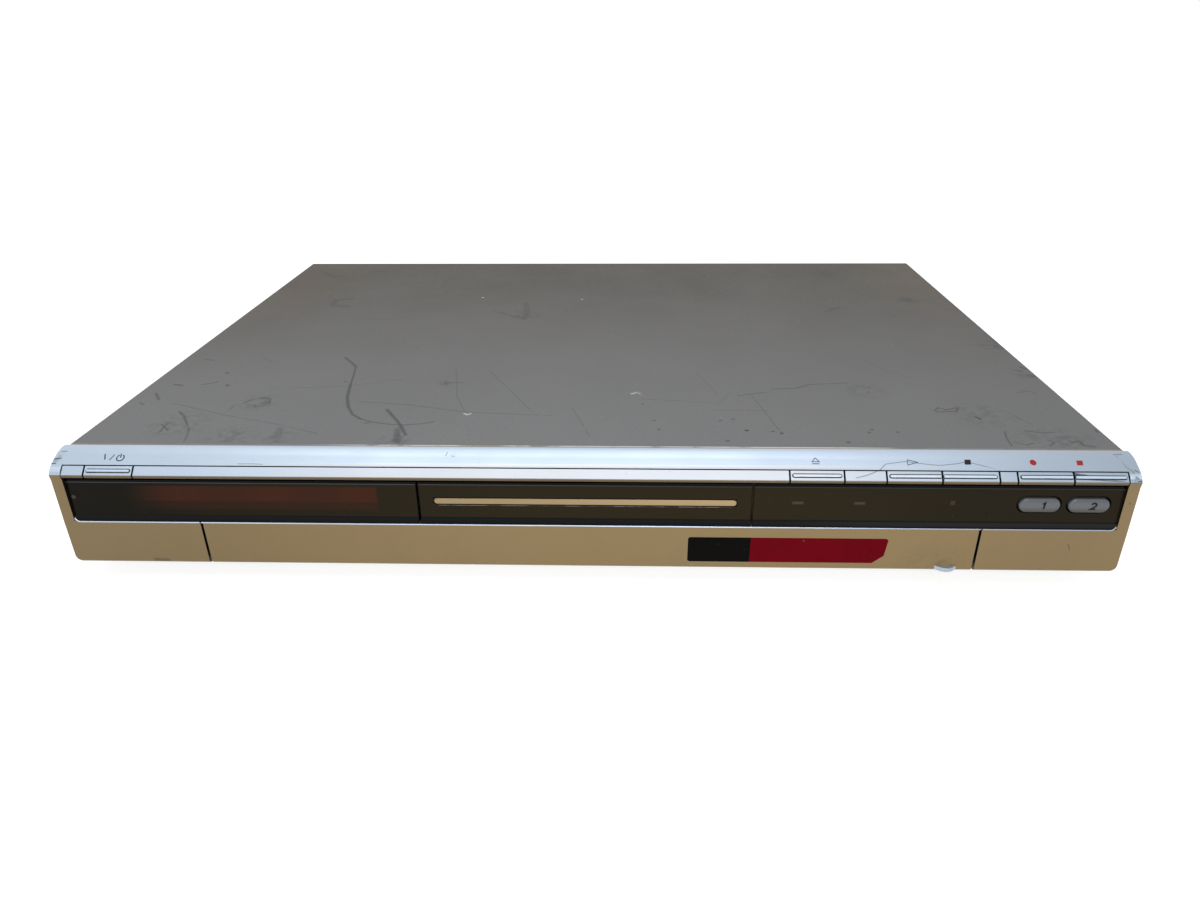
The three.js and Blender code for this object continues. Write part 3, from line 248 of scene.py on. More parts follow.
def stadium(width, height, centre, steps=16):
    radius, reach = height / 2, width / 2 - height / 2
    return (arc((centre[0] + reach, centre[1]), radius, -90, 90, steps)
            + arc((centre[0] - reach, centre[1]), radius, 90, 270, steps))


def lathe(profile, centre, sides=96):
    """A closed solid turned about Z; the profile is (radius, height) and starts and ends on the axis."""
    bm = bmesh.new()
    rings = []
    for radius, height in profile:
        if radius == 0:
            rings.append([bm.verts.new(spot(centre[0], centre[1], height))])
            continue
        rings.append([bm.verts.new(spot(centre[0] + radius * math.cos(2 * math.pi * k / sides),
                                        centre[1] + radius * math.sin(2 * math.pi * k / sides), height))
                      for k in range(sides)])
    for lower, upper in zip(rings, rings[1:]):
        for k in range(sides):
            n = (k + 1) % sides
            ring = [lower[k % len(lower)], lower[n % len(lower)],
                    upper[n % len(upper)], upper[k % len(upper)]]
            bm.faces.new(list(dict.fromkeys(ring)))
    bmesh.ops.recalc_face_normals(bm, faces=bm.faces)
    return bm


def merged(target, other):
    """Adds one bmesh's shape to another."""
    mesh = bpy.data.meshes.new("joining")
    other.to_mesh(mesh)
    other.free()
    target.from_mesh(mesh)
    bpy.data.meshes.remove(mesh)
    return target


# Finishes

class Finish:
    """A Principled finish whose patterns read Object coordinates."""

    def __init__(self, name, colour, roughness, metallic=0.0, **sockets):
        self.material = bpy.data.materials.new(name)
        self.material.use_nodes = True
        self.nodes = self.material.node_tree.nodes
        self.links = self.material.node_tree.links
        self.shader = self.nodes["Principled BSDF"]
        self.place = self.nodes.new("ShaderNodeTexCoord").outputs["Object"]
        self.colour = tuple(colour) + (1.0,)
        self.set("Base Color", self.colour)
        self.set("Roughness", roughness)
        self.set("Metallic", metallic)
        for key, value in sockets.items():
            self.set(key.replace("_", " "), value)

    def set(self, socket, value, node=None):
        target = (node or self.shader).inputs[socket]
        if isinstance(value, bpy.types.NodeSocket):
            self.links.new(value, target)
        else:
            target.default_value = value
        return self

    def new(self, kind, inputs=(), output=0, **settings):
        node = self.nodes.new("ShaderNode" + kind)
        for key, value in settings.items():
            setattr(node, key, value)
        for key, value in dict(inputs).items():
            self.set(key, value, node)
        return node.outputs[output]

    def axis(self, name):
        return self.new("SeparateXYZ", {"Vector": self.place}, name)

    def stretched(self, scale):
        return self.new("Mapping", {"Vector": self.place, "Scale": scale})

    def noise(self, scale, detail=3.0, roughness=0.55, vector=None):
        return self.new("TexNoise", {"Vector": vector or self.place, "Scale": scale, "Detail": detail,
                                     "Roughness": roughness})

    def cells(self, scale):
        return self.new("TexVoronoi", {"Vector": self.place, "Scale": scale}, "Distance")

    def read(self, pattern):
        """A socket as it is, or noise given by its scale, detail and roughness."""
        return self.noise(*pattern) if isinstance(pattern, tuple) else pattern

    def span(self, pattern, low, high, to_low=0.0, to_high=1.0):
        """A smooth run from one share to another while a pattern runs from low to high."""
        return self.new("MapRange", {"Value": self.read(pattern), "From Min": low, "From Max": high,
                                     "To Min": to_low, "To Max": to_high}, interpolation_type="SMOOTHSTEP")

    def math(self, operation, first, second=0.5):
        return self.new("Math", {0: first, 1: second}, operation=operation)

    def both(self, first, second):
        """The product of two shares."""
        return self.math("MULTIPLY", first, second)

    def size_of(self, value):
        return self.math("ABSOLUTE", value)

    def near(self, centre, radius, soft=0.5):
        """1 within a radius of a point, in metres, falling to 0."""
        away = self.new("VectorMath", {0: self.place, 1: centre}, "Value", operation="DISTANCE")
        return self.span(away, radius * (1 + soft), radius * (1 - soft))

    def patch(self, x, z, soft=0.4):
        """1 inside a rectangle of the front, in millimetres, with soft sides."""
        share = None
        for name, (low, high) in (("X", x), ("Z", z)):
            place = self.axis(name)
            for edge, inward in ((low, 1), (high, -1)):
                side = self.span(place, (edge - inward * soft / 2) * MM, (edge + inward * soft / 2) * MM)
                share = side if share is None else self.both(share, side)
        return share

    def line(self, points, width):
        """1 on a line through points, in metres, falling to 0 beside it; the width is in millimetres."""
        least = None
        for start, end in zip(points, points[1:]):
            run = end - start
            off = self.new("VectorMath", {0: self.place, 1: start}, operation="SUBTRACT")
            share = self.new("VectorMath", {0: off, 1: run / run.length_squared}, "Value",
                             operation="DOT_PRODUCT")
            share = self.new("Clamp", {"Value": share})
            reach = self.new("VectorMath", {0: run, "Scale": share}, operation="SCALE")
            away = self.new("VectorMath", {0: off, 1: reach}, "Value", operation="DISTANCE")
            least = away if least is None else self.math("MINIMUM", least, away)
        return self.span(least, width * 0.75 * MM, width * 0.25 * MM)

    def bare(self):
        """1 on the faces that a piece marks for painted shade in seams and gaps, or as bare inside."""
        return self.new("Attribute", output="Fac", attribute_name="bare")

    def blend(self, share, first, second):
        node = self.nodes.new("ShaderNodeMix")
        node.data_type = "RGBA"
        self.set(0, share, node)
        self.set(6, first, node)
        self.set(7, second, node)
        return node.outputs[2]

    def tint(self, share, colour):
        """Lays a colour over what the base colour has so far."""
        socket = self.shader.inputs["Base Color"]
        under = socket.links[0].from_socket if socket.is_linked else self.colour
        return self.set("Base Color", self.blend(share, under, tuple(colour) + (1.0,)))

    def fade(self, pattern, low, high, amount, colour):
        """Lays a colour, up to an amount, while a pattern runs from low to high."""
        return self.tint(self.span(pattern, low, high, 0.0, amount), colour)

    def grain(self, height, strength=0.2, distance=0.1):
        """A bump of a height pattern, with its depth in millimetres."""
        socket = self.shader.inputs["Normal"]
        inputs = {"Height": self.read(height), "Strength": strength, "Distance": distance * MM}
        if socket.is_linked:
            inputs["Normal"] = socket.links[0].from_socket
        return self.set("Normal", self.new("Bump", inputs))

    def rough(self, pattern, low, high):
        return self.set("Roughness", self.span(pattern, 0.25, 0.75, low, high))


def srgb(red, green, blue):
    """A colour given as 8-bit display values."""
    return tuple((c / 12.92 if c <= 0.04045 else ((c + 0.055) / 1.055) ** 2.4)
                 for c in (red / 255, green / 255, blue / 255))


def scaled(colour, factor):
    return tuple(min(c * factor, 1.0) for c in colour)


def speckled(finish, colour, scale=2600.0, level=0.74):
    """Fine dust or metal flake as small spots of another tone."""
    return finish.tint(finish.span((scale, 1.0), level, level + 0.06), colour)


def cover_paint(settings):
    """Grey paint of the steel cover, dull and dusty, with its scuffs; darker and warmer towards the rear as
    painted shade, with a painted highlight along its front edge.
    """
    base = settings.cover_colour
    finish = Finish("cover_paint", base, 0.5, 0.0, Specular_IOR_Level=0.22)
    x, y = finish.axis("X"), finish.axis("Y")
    finish.fade(x, 0.03, 0.2, 0.6, scaled(base, 0.78))
    # Painted shade: darker and warmer towards the rear.
    finish.tint(finish.span(y, -0.17, 0.17), (base[0] * 0.36, base[1] * 0.32, base[2] * 0.25))
    sides = finish.both(finish.span(finish.size_of(x), 0.15, 0.214, 0.0, 0.5),
                        finish.span(y, -0.1, 0.12))
    finish.tint(sides, srgb(88, 74, 60))
    finish.fade((11.0, 5.0, 0.62), 0.42, 0.72, 0.16, scaled(base, 0.8))
    finish.fade((800.0, 2.0, 0.7), 0.42, 0.62, 0.22, scaled(base, 0.72))
    finish.fade((300.0, 3.0, 0.7), 0.66, 0.72, 0.3, scaled(base, 0.6))
    finish.fade((520.0, 2.0), 0.7, 0.74, 0.35, scaled(base, 1.5))
    for x_mm, y_mm, radius, amount in COVER_SMUDGES:
        worn = finish.both(finish.near(spot(x_mm, y_mm, ROOF_Z / MM), radius * MM, 0.6),
                           finish.span((210.0, 4.0, 0.7), 0.44, 0.6))
        finish.tint(finish.both(worn, amount), scaled(base, 0.3))
    for x_mm, y_mm, radius, amount in COVER_SPECKS:
        finish.tint(finish.both(finish.near(spot(x_mm, y_mm, ROOF_Z / MM), radius * MM, 0.4), abs(
            amount)), scaled(base, 0.25 if amount > 0 else 2.9))
    for width, amount, breaks, points in COVER_SCUFFS:
        broad = width * (2.3 if points[0][1] > 180.0 else 1.0)
        mark = finish.line([spot(*place, ROOF_Z / MM) for place in points], broad)
        kept = finish.span((140.0, 3.0, 0.7), breaks * 0.5, breaks * 0.5 + 0.16)
        finish.tint(finish.both(finish.both(mark, kept), abs(amount)),
                    scaled(base, 0.3 if amount > 0 else 2.9))
    edge = finish.both(finish.span(finish.size_of(x), 213.9 * MM, 214.5 * MM),
                       finish.span(finish.axis("Z"), 55.5 * MM, 56.0 * MM, 0.0, 0.7))
    finish.tint(edge, srgb(122, 98, 80))
    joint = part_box("front_bezel")[1].y + 0.3 * MM
    finish.fade(y, joint + 1.3 * MM, joint + 0.9 * MM, 0.85, srgb(168, 150, 130))
    glint = finish.both(finish.span(y, joint + 1.2 * MM, joint + 1.5 * MM),
                        finish.span(y, joint + 2.4 * MM, joint + 2.1 * MM))
    broken = finish.both(finish.span((60.0, 4.0, 0.7), 0.4, 0.56, 0.2, 0.9),
                         finish.span(finish.size_of(finish.math("SUBTRACT", x, 0.01)), 0.13, 0.09, 0.12, 1.0))
    finish.tint(finish.both(glint, broken), srgb(206, 210, 214))
    finish.rough((14.0, 6.0, 0.6), 0.54, 0.62)
    finish.grain((900.0, 2.0), 0.1, 0.05)
    return finish.material


def front_paint(settings):
    """Pearl above the knife edge and on the pull tab, warm metallic taupe below, each partly the paint's tone
    and partly a painted reflection, of sky above and of the floor below; painted shade in the seams and bare
    faces inside.
    """
    pearl, taupe = settings.pearl_colour, settings.taupe_colour
    finish = Finish("front_paint", pearl, 0.36)
    y, z = finish.axis("Y"), finish.axis("Z")
    below = finish.new("MapRange", {"Value": z, "From Min": (KNIFE_Z + 0.06) * MM, "From Max": (
        KNIFE_Z - 0.06) * MM})
    # The pull tab takes the pearl as a painted reflection on its upper face.
    tab = finish.both(finish.span(y, KNIFE_Y + 1.5 * MM, KNIFE_Y + 1.35 * MM),
                      finish.span(z, 12.6 * MM, 12.2 * MM))
    taupe_share = finish.both(below, finish.math("SUBTRACT", 1.0, tab))
    finish.fade((60.0, 5.0, 0.65), 0.42, 0.72, 0.2, scaled(pearl, 0.88))
    x = finish.axis("X")
    # Painted shade: the pearl grows darker towards both ends, most at the right-hand end.
    finish.fade(x, -0.16, -0.05, 0.9, scaled(pearl, 0.93))
    finish.fade(x, 0.11, 0.225, 0.6, scaled(pearl, 0.55))
    # A painted highlight on the keys' raised bars.
    rise = finish.math("SUBTRACT", finish.math("SUBTRACT", z, KNIFE_Z * MM),
                       finish.math("SUBTRACT", y, KNIFE_Y))
    finish.fade(rise, 0.3 * MM, 0.45 * MM, 0.8, scaled(pearl, 1.22))
    # Painted light: the key strip is brighter and warmer across its middle.
    strip = finish.both(finish.span(y, KNIFE_Y + 5.0 * MM, KNIFE_Y + 4.8 * MM),
                        finish.span(finish.size_of(x), 0.17, 0.06))
    finish.tint(strip, [channel * share for channel, share in zip(pearl, (1.16, 1.03, 0.93, 1.0))])
    # The taupe is partly the paint's tone and partly a painted reflection of the floor.
    finish.tint(taupe_share, taupe)
    # Painted shade: the taupe grows darker towards both ends.
    finish.tint(finish.both(taupe_share, finish.span(x, -0.02, -0.19)), scaled(taupe, 0.84))
    finish.tint(finish.both(taupe_share, finish.span(x, 0.1, 0.2)), scaled(taupe, 0.88))
    # Painted shade on the strip's front face below the knife edge, over the windows.
    foot = finish.both(finish.span(z, (KNIFE_Z - 0.2) * MM, (KNIFE_Z - 0.35) * MM),
                       finish.span(z, (KNIFE_Z - 1.3) * MM, (KNIFE_Z - 1.2) * MM))
    foot = finish.both(foot, finish.span(finish.size_of(x), 210.6 * MM, 210.4 * MM, 0.0, 0.75))
    finish.tint(foot, scaled(taupe, 0.3))
    cloud = finish.span((70.0, 5.0, 0.7), 0.48, 0.8, 0.0, 0.25)
    finish.tint(finish.both(taupe_share, cloud), scaled(taupe, 0.76))
    finish.fade((700.0, 2.0, 0.6), 0.7, 0.76, 0.3, scaled(taupe, 0.5))
    for (x, y_mm, z_mm), radius, amount in FRONT_WEAR:
        worn = finish.both(finish.near(spot(x, y_mm, z_mm), radius * MM, 0.7),
                           finish.span((420.0, 4.0, 0.75), 0.46, 0.6))
        finish.tint(finish.both(worn, amount), srgb(58, 62, 66))
    # A painted shade line along the knife edge.
    knife = finish.span(finish.size_of(finish.math("SUBTRACT", z, (KNIFE_Z + 0.02) * MM)), 0.2 * MM,
                        0.08 * MM, 0.0, 0.6)
    finish.tint(knife, srgb(70, 64, 58))
    for width, amount, points in FRONT_SCRATCHES:
        hair = finish.line([spot(*place) for place in points], width)
        finish.tint(finish.both(hair, amount), srgb(60, 60, 62))
    # Painted shade: seam sides, the groove and the inner walls go dark, as do the bare faces inside the case.
    bare = finish.bare()
    finish.tint(bare, srgb(18, 18, 20))
    metal = finish.math("MULTIPLY_ADD", taupe_share, -0.5)
    metal.node.inputs[2].default_value = 0.72
    finish.set("Metallic", finish.both(metal, finish.math("SUBTRACT", 1.0, bare)))
    finish.rough((40.0, 4.0), 0.34, 0.44)
    finish.grain((900.0, 2.0), 0.03, 0.03)
    return finish.material


def acrylic(settings):
    """Smoked window with the dim display, two lamps and a dimple seen through it, and painted reflections,
    highlights and shade.
    """
    finish = Finish("smoked_window", settings.window_colour, 0.08, 0.0, Specular_IOR_Level=0.08)
    x, z = finish.axis("X"), finish.axis("Z")
    # Painted reflection: lighter from the middle to the right, darker at both ends.
    finish.fade(x, -0.19, 0.0, 0.8, scaled(settings.window_colour, 2.1))
    finish.fade(x, -0.15, -0.19, 0.8, scaled(settings.window_colour, 0.45))
    finish.fade(x, 0.07, 0.2, 0.7, scaled(settings.window_colour, 0.95))
    low, high = settings.display_low, settings.display_high
    start = finish.span(x, settings.display_left * MM, (settings.display_left + 26.0) * MM)
    glow = finish.both(finish.patch((-250.0, settings.display_right), (low, high), 1.0), start)
    digits = finish.span(finish.noise(75.0, 2.0, vector=finish.stretched((1.0, 1.0, 0.35))), 0.35, 0.7, 0.75,
                         1.0)
    finish.tint(finish.both(glow, digits), settings.display_colour)
    below = finish.both(finish.patch((-250.0, settings.display_right), (low - 3.6, low + 0.5), 2.0), start)
    finish.tint(finish.both(below, 0.35), settings.display_colour)
    for lamp in ((82.3, 86.6), (106.6, 110.9)):
        finish.tint(finish.both(finish.patch(lamp, (38.8, 39.9), 0.8), 0.42), srgb(104, 98, 90))
    finish.tint(finish.both(finish.patch((144.2, 146.0), (39.0, 40.7), 0.5), 0.35),
                srgb(96, 88, 78))
    # The dimple: a dark spot, with a painted highlight below and to its left.
    finish.tint(finish.both(finish.near(spot(-207.5, 2.0, 40.7), 1.5 * MM, 0.4), 0.9),
                srgb(12, 9, 7))
    finish.tint(finish.both(finish.near(spot(-208.7, 2.0, 39.5), 0.8 * MM, 0.5), 0.6),
                srgb(104, 96, 88))
    low_bar, high_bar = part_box("tray_stripe")
    # A painted shadow along the top of the tray's bar.
    bar = finish.patch((low_bar.x / MM - 0.6, high_bar.x / MM + 0.4), (40.0, 40.75), 0.3)
    finish.tint(finish.both(bar, 0.85), srgb(8, 6, 5))
    # Painted reflection of the sky on the lower bevel, lighter on its right-hand part, with painted shade in
    # dark bands above and below it.
    bevel = finish.span(z, 31.55 * MM, 31.3 * MM)
    finish.tint(bevel, srgb(28, 29, 32))
    finish.tint(finish.both(bevel, finish.span(x, 0.06, 0.13)), srgb(52, 52, 52))
    finish.fade(z, 31.9 * MM, 31.6 * MM, 0.5, srgb(8, 7, 6))
    finish.tint(finish.math("SUBTRACT", bevel, finish.span(z, 31.2 * MM, 30.9 * MM)), srgb(14, 13, 12))
    finish.tint(finish.span(z, 29.5 * MM, 29.2 * MM), srgb(10, 10, 13))
    # A painted highlight along the window's top edge, and above it a painted shadow under the strip.
    glint = finish.both(finish.span(z, 46.0 * MM, 46.15 * MM), finish.span(x, -0.08, 0.1, 0.7, 0.3))
    finish.tint(glint, srgb(84, 88, 92))
    finish.tint(finish.span(z, 46.4 * MM, 46.6 * MM), srgb(4, 4, 5))
    # Painted shade on the side faces in the seams between the window pieces.
    finish.tint(finish.bare(), srgb(5, 5, 6))
    finish.fade((700.0, 3.0), 0.7, 0.76, 0.12, srgb(110, 105, 96))
    finish.rough((22.0, 5.0), 0.06, 0.14)
    finish.grain((60.0, 2.0), 0.02, 0.05)
    return finish.material


def metal_sheet(name, colour, roughness=0.38, grain=(6.0, 320.0, 320.0)):
    """Plated sheet steel with rolling marks and a faint spangle."""
    finish = Finish(name, colour, roughness, 0.9)
    lines = finish.noise(9.0, 4.0, 0.6, finish.stretched(grain))
    finish.fade(lines, 0.35, 0.7, 0.35, scaled(colour, 0.78))
    finish.fade(finish.cells(260.0), 0.2, 0.75, 0.2, scaled(colour, 1.18))
    finish.rough((30.0, 5.0), roughness - 0.08, roughness + 0.12)
    finish.grain(lines, 0.08, 0.03)
    return finish.material


def moulded(name, colour, roughness=0.5, spot_scale=1800.0, strength=0.22):
    """Textured moulded plastic."""
    finish = Finish(name, colour, roughness)
    finish.fade((45.0, 4.0), 0.4, 0.75, 0.3, scaled(colour, 0.75))
    speckled(finish, scaled(colour, 1.5), spot_scale, 0.7)
    finish.rough((60.0, 4.0), roughness - 0.08, roughness + 0.12)
    finish.grain((spot_scale, 2.0), strength, 0.05)
    return finish.material


def cast_metal(name, colour, roughness=0.42):
    finish = Finish(name, colour, roughness, 0.85)
    finish.fade((55.0, 6.0, 0.65), 0.4, 0.75, 0.4, scaled(colour, 0.7))
    finish.rough((90.0, 4.0), roughness - 0.1, roughness + 0.12)
    finish.grain((1400.0, 3.0), 0.25, 0.06)
    return finish.material


def turned_steel(name, colour):
    finish = Finish(name, colour, 0.2, 1.0)
    rings = finish.noise(14.0, 3.0, 0.5, finish.stretched((40.0, 420.0, 40.0)))
    finish.fade(rings, 0.4, 0.7, 0.25, scaled(colour, 0.75))
    finish.rough(rings, 0.15, 0.3)
    finish.grain(rings, 0.06, 0.02)
    return finish.material


def circuit_board(name, colour, copper):
    """Solder mask over a grid of tracks, with dull solder points."""
    finish = Finish(name, colour, 0.42, 0.0, Coat_Weight=0.3, Coat_Roughness=0.25)
    tracks = finish.new("TexBrick", {
        "Vector": finish.stretched((1.0, 1.0, 1.0)), "Scale": 190.0, "Mortar Size": 0.07,
        "Color1": (1, 1, 1, 1), "Color2": (0.6, 0.6, 0.6, 1), "Mortar": (0, 0, 0, 1)}, "Fac")
    finish.tint(finish.both(tracks, 0.45), scaled(colour, 1.5))
    points = finish.span(finish.cells(330.0), 0.2, 0.12)
    kept = finish.both(points, finish.span((70.0, 2.0), 0.5, 0.56))
    finish.tint(kept, copper)
    finish.set("Metallic", finish.both(kept, 0.8))
    finish.grain(finish.math("ADD", kept, tracks), 0.3, 0.08)
    finish.rough((160.0, 3.0), 0.35, 0.5)
    return finish.material


def wound_tape(name, colour):
    finish = Finish(name, colour, 0.4)
    layers = finish.new("TexWave", {"Vector": finish.place, "Scale": 160.0, "Distortion": 0.6, "Detail": 2.0},
                        "Fac", bands_direction="Z")
    finish.fade(layers, 0.3, 0.8, 0.35, scaled(colour, 0.62))
    finish.fade((300.0, 3.0), 0.6, 0.72, 0.4, scaled(colour, 1.25))
    finish.grain(layers, 0.25, 0.1)
    finish.rough((120.0, 2.0), 0.32, 0.5)
    return finish.material


def sleeve(name, colour, stripe):
    """Shrink sleeve of a can, with its pale polarity stripe."""
    finish = Finish(name, colour, 0.35, 0.0, Coat_Weight=0.3)
    low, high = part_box("main_capacitor")
    side = finish.span(finish.axis("X"), high.x - 0.0016, high.x - 0.0012)
    finish.tint(side, stripe)
    top = finish.span(finish.axis("Z"), high.z - 0.0006, high.z - 0.0003)
    finish.tint(top, srgb(170, 172, 175))
    finish.set("Metallic", finish.both(top, 0.9))
    finish.grain((700.0, 2.0), 0.1, 0.05)
    finish.rough((50.0, 3.0), 0.28, 0.42)
    return finish.material


def rubber(name, colour):
    finish = Finish(name, colour, 0.85)
    finish.fade((140.0, 4.0), 0.5, 0.75, 0.5, scaled(colour, 2.2))
    finish.grain((1500.0, 3.0), 0.35, 0.08)
    finish.rough((80.0, 3.0), 0.75, 0.95)
    return finish.material


def print_ink(name, colour):
    """Screen-printed ink, a little thin in places."""
    finish = Finish(name, colour, 0.45, 0.0, Specular_IOR_Level=0.2)
    finish.fade((900.0, 3.0), 0.5, 0.7, 0.3, scaled(colour, 1.8))
    finish.rough((300.0, 2.0), 0.38, 0.52)
    return finish.material


def stripe_metal(settings):
    """Gold-toned bar, a little brighter towards its right-hand end."""
    base = settings.stripe_colour
    finish = Finish("tray_stripe_gold", base, 0.32, 0.3)
    finish.fade(finish.axis("X"), -0.045, 0.06, 0.6, scaled(base, 1.35))
    lines = finish.noise(300.0, 3.0, 0.6, finish.stretched((0.25, 1.0, 1.0)))
    finish.fade(lines, 0.5, 0.75, 0.2, scaled(base, 0.86))
    finish.rough((90.0, 3.0), 0.26, 0.4)
    finish.grain((600.0, 2.0), 0.04, 0.03)
    return finish.material


def groove_edge(name, colour):
    """Edge bead that stands in for the highlight on the groove below the tray's bar, broken into short
    lengths by painted darker gaps.
    """
    finish = Finish(name, colour, 0.3, 0.5)
    gaps = finish.span((110.0, 3.0, 0.6), 0.46, 0.56, 0.2, 1.0)
    finish.tint(gaps, srgb(34, 30, 26))
    finish.set("Metallic", finish.math("SUBTRACT", 0.5, finish.both(gaps, 0.5)))
    finish.rough((90.0, 3.0), 0.22, 0.4)
    return finish.material


def lip_paint(settings):
    """Bright thin edge under the windows, a painted highlight of the moulding's rounded edge, duller towards
    its right-hand end as painted shade.
    """
    base = settings.lip_colour
    finish = Finish("lip_highlight", base, 0.3, 0.9)
    finish.fade(finish.axis("X"), 0.02, 0.16, 0.8, scaled(base, 0.42))
    lines = finish.noise(9.0, 4.0, 0.6, finish.stretched((3.0, 60.0, 60.0)))
    finish.fade(lines, 0.35, 0.7, 0.4, scaled(base, 0.62))
    finish.rough((30.0, 5.0), 0.22, 0.42)
    return finish.material


def jack_sleeves(settings):
    """Plated sleeves of the rear jacks over a grey moulding, each with a coloured insulator."""
    finish = Finish("jack_sleeves", srgb(60, 62, 66), 0.5)
    finish.fade((45.0, 4.0), 0.4, 0.75, 0.3, srgb(48, 50, 54))
    outside = finish.span(finish.axis("Y"), REAR_Y - 0.2 * MM, REAR_Y)
    finish.tint(outside, srgb(178, 180, 180))
    flat = finish.stretched((1.0, 0.0, 1.0))
    low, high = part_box("rear_jack_block")
    insulators = None
    for column, colour in enumerate((srgb(176, 36, 42), srgb(222, 220, 212), srgb(214, 178, 44))):
        for z in (low.z + 5.5 * MM, high.z - 5.5 * MM):
            centre = Vector(((low.x + high.x) / 2 + (column - 1) * 14.0 * MM, 0.0, z))
            away = finish.new("VectorMath", {0: flat, 1: centre}, "Value", operation="DISTANCE")
            inside = finish.span(away, 3.35 * MM, 3.2 * MM)
            finish.tint(inside, colour)
            insulators = inside if insulators is None else finish.math("ADD", insulators, inside)
    metal = finish.both(outside, finish.math("SUBTRACT", 1.0, insulators))
    finish.set("Metallic", finish.both(metal, 0.9))
    finish.rough((60.0, 4.0), 0.28, 0.42)
    finish.grain((1400.0, 2.0), 0.1, 0.03)
    return finish.material


def pill_paint(settings):
    """Grey drive keys with a painted highlight across the middle, painted warm shade on the lower half and
    painted shade at the rims.
    """
    base = settings.drive_key_colour
    finish = Finish("drive_key_paint", base, 0.36, 0.3)
    mid_z = (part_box("disc_key")[0].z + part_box("disc_key")[1].z) / 2
    off = finish.size_of(finish.math("SUBTRACT", finish.axis("Z"), mid_z))
    finish.fade(off, 0.0024, 0.0006, 0.6, scaled(base, 1.5))
    finish.tint(finish.span(finish.axis("Z"), mid_z - 0.0006, mid_z - 0.0032, 0.0, 0.8), (
        base[0] * 0.7, base[1] * 0.58, base[2] * 0.42))
    finish.fade(off, 0.0026, 0.0036, 0.9, scaled(base, 0.25))
    speckled(finish, scaled(base, 2.0), 2800.0)
    finish.rough((200.0, 3.0), 0.3, 0.44)
    finish.grain((1900.0, 2.0), 0.08, 0.03)
    return finish.material


def sticker_paper(settings):
    """Gloss label in two plain tones."""
    finish = Finish("flap_label", settings.label_colour, 0.36, 0.0, Specular_IOR_Level=0.04)
    finish.fade((38.0, 3.0), 0.4, 0.7, 0.35, scaled(settings.label_colour, 1.4))
    split = settings.label_split
    finish.tint(finish.span(finish.axis("X"), (split + 0.1) * MM, (split - 0.1) * MM), srgb(10, 8, 7))
    finish.fade((420.0, 4.0), 0.68, 0.74, 0.2, srgb(150, 130, 130))
    finish.rough((120.0, 3.0), 0.28, 0.42)
    finish.grain((90.0, 3.0), 0.05, 0.05)
    return finish.material


# Settings that a user would change

def in_mm(name, description, default, **limits):
    return FloatProperty(name=name, description=description + ", in mm", default=default, **limits)


def in_metres(name, description, default, **limits):
    return FloatProperty(name=name, description=description, default=default, unit="LENGTH", **limits)


def tone(name, description, *channels):
    """A colour given as 8-bit display values."""
    return FloatVectorProperty(name=name, description=description, subtype="COLOR", default=srgb(*channels),
                               min=0.0, max=1.0)


class RecorderSettings(bpy.types.PropertyGroup):
    """Sizes and colours of the recorder's outer pieces."""
    cover_bend: in_mm("Cover bend", "Outer radius of the cover's long bends", 1.8, min=0.2, max=4.0)
    edge_width: in_mm("Edge rounding", "Width of the rounded front edges", 0.22, min=0.05, max=1.0)
    screw_radius: in_metres("Screw head radius", "Radius of the case screws' heads", 0.0031, min=0.001,
                            max=0.006)
    screw_height: in_metres("Screw head height", "Height of the case screws' heads", 0.0012, min=0.0003,
                            max=0.003)
    screw_sides: IntProperty(name="Screw head sides", description="Facets round each screw head", default=28,
                             min=8, max=64)
    display_left: in_mm("Display left", "Left end of the lit display", -190.0)
    display_right: in_mm("Display right", "Right end of the lit display", -83.9)
    display_low: in_mm("Display bottom", "Bottom of the lit display", 38.1)
    display_high: in_mm("Display top", "Top of the lit display", 44.9)
    label_split: in_mm("Label split", "Where the label changes tone", 66.8)
    cover_colour: tone("Cover", "Paint of the steel cover", 116, 117, 118)
    # The pearl and the taupe are partly the paint's tones and partly a painted reflection, of sky above the
    # knife edge and of the floor below it.
    pearl_colour: tone("Pearl", "Paint above the knife edge", 184, 199, 216)
    taupe_colour: tone("Taupe", "Paint below the knife edge", 150, 127, 86)
    window_colour: tone("Window", "Smoked acrylic", 32, 26, 12)
    display_colour: tone("Display", "Display seen through the window", 72, 36, 22)
    stripe_colour: tone("Tray stripe", "Bar across the tray's front", 168, 145, 106)
    drive_key_colour: tone("Drive keys", "Paint of the two drive keys", 90, 93, 95)
    # The lip's colour is a painted highlight.
    lip_colour: tone("Lip", "Bright edge under the windows", 206, 220, 240)
    label_colour: tone("Label", "Main tone of the flap's label", 112, 5, 20)


class StudioSettings(bpy.types.PropertyGroup):
    """Floor, lights and camera."""
    floor_size: FloatProperty(name="Floor size", description="Side of the floor", default=8.0, unit="LENGTH")
    floor_glow: FloatProperty(name="Floor brightness", description="How white the camera sees the floor",
                              default=0.8, min=0.0, max=1.0, subtype="FACTOR")
    sky_strength: FloatProperty(name="Surround", description="Strength of the even light from all sides",
                                default=0.5, min=0.0, max=2.0)
    top_power: FloatProperty(name="Top light", description="Power of the light above the front",
                             default=3.5, unit="POWER")
    strip_power: FloatProperty(name="Strip light", description="Power of the light above the camera",
                               default=1.0, unit="POWER")
    fill_power: FloatProperty(name="Front light", description="Power of the light beside the camera",
                              default=2.0, unit="POWER")
    lens: FloatProperty(name="Lens", description="Focal length of the camera, in mm", default=27.0)
    camera_place: FloatVectorProperty(name="Camera", description="Where the camera stands",
                                      subtype="TRANSLATION", default=(0.01780, -0.48309, 0.21087))
    camera_turn: FloatVectorProperty(name="Camera turn", description="Yaw, pitch down and roll",
                                     subtype="EULER", default=(-0.0369, 0.4393, -0.0097))


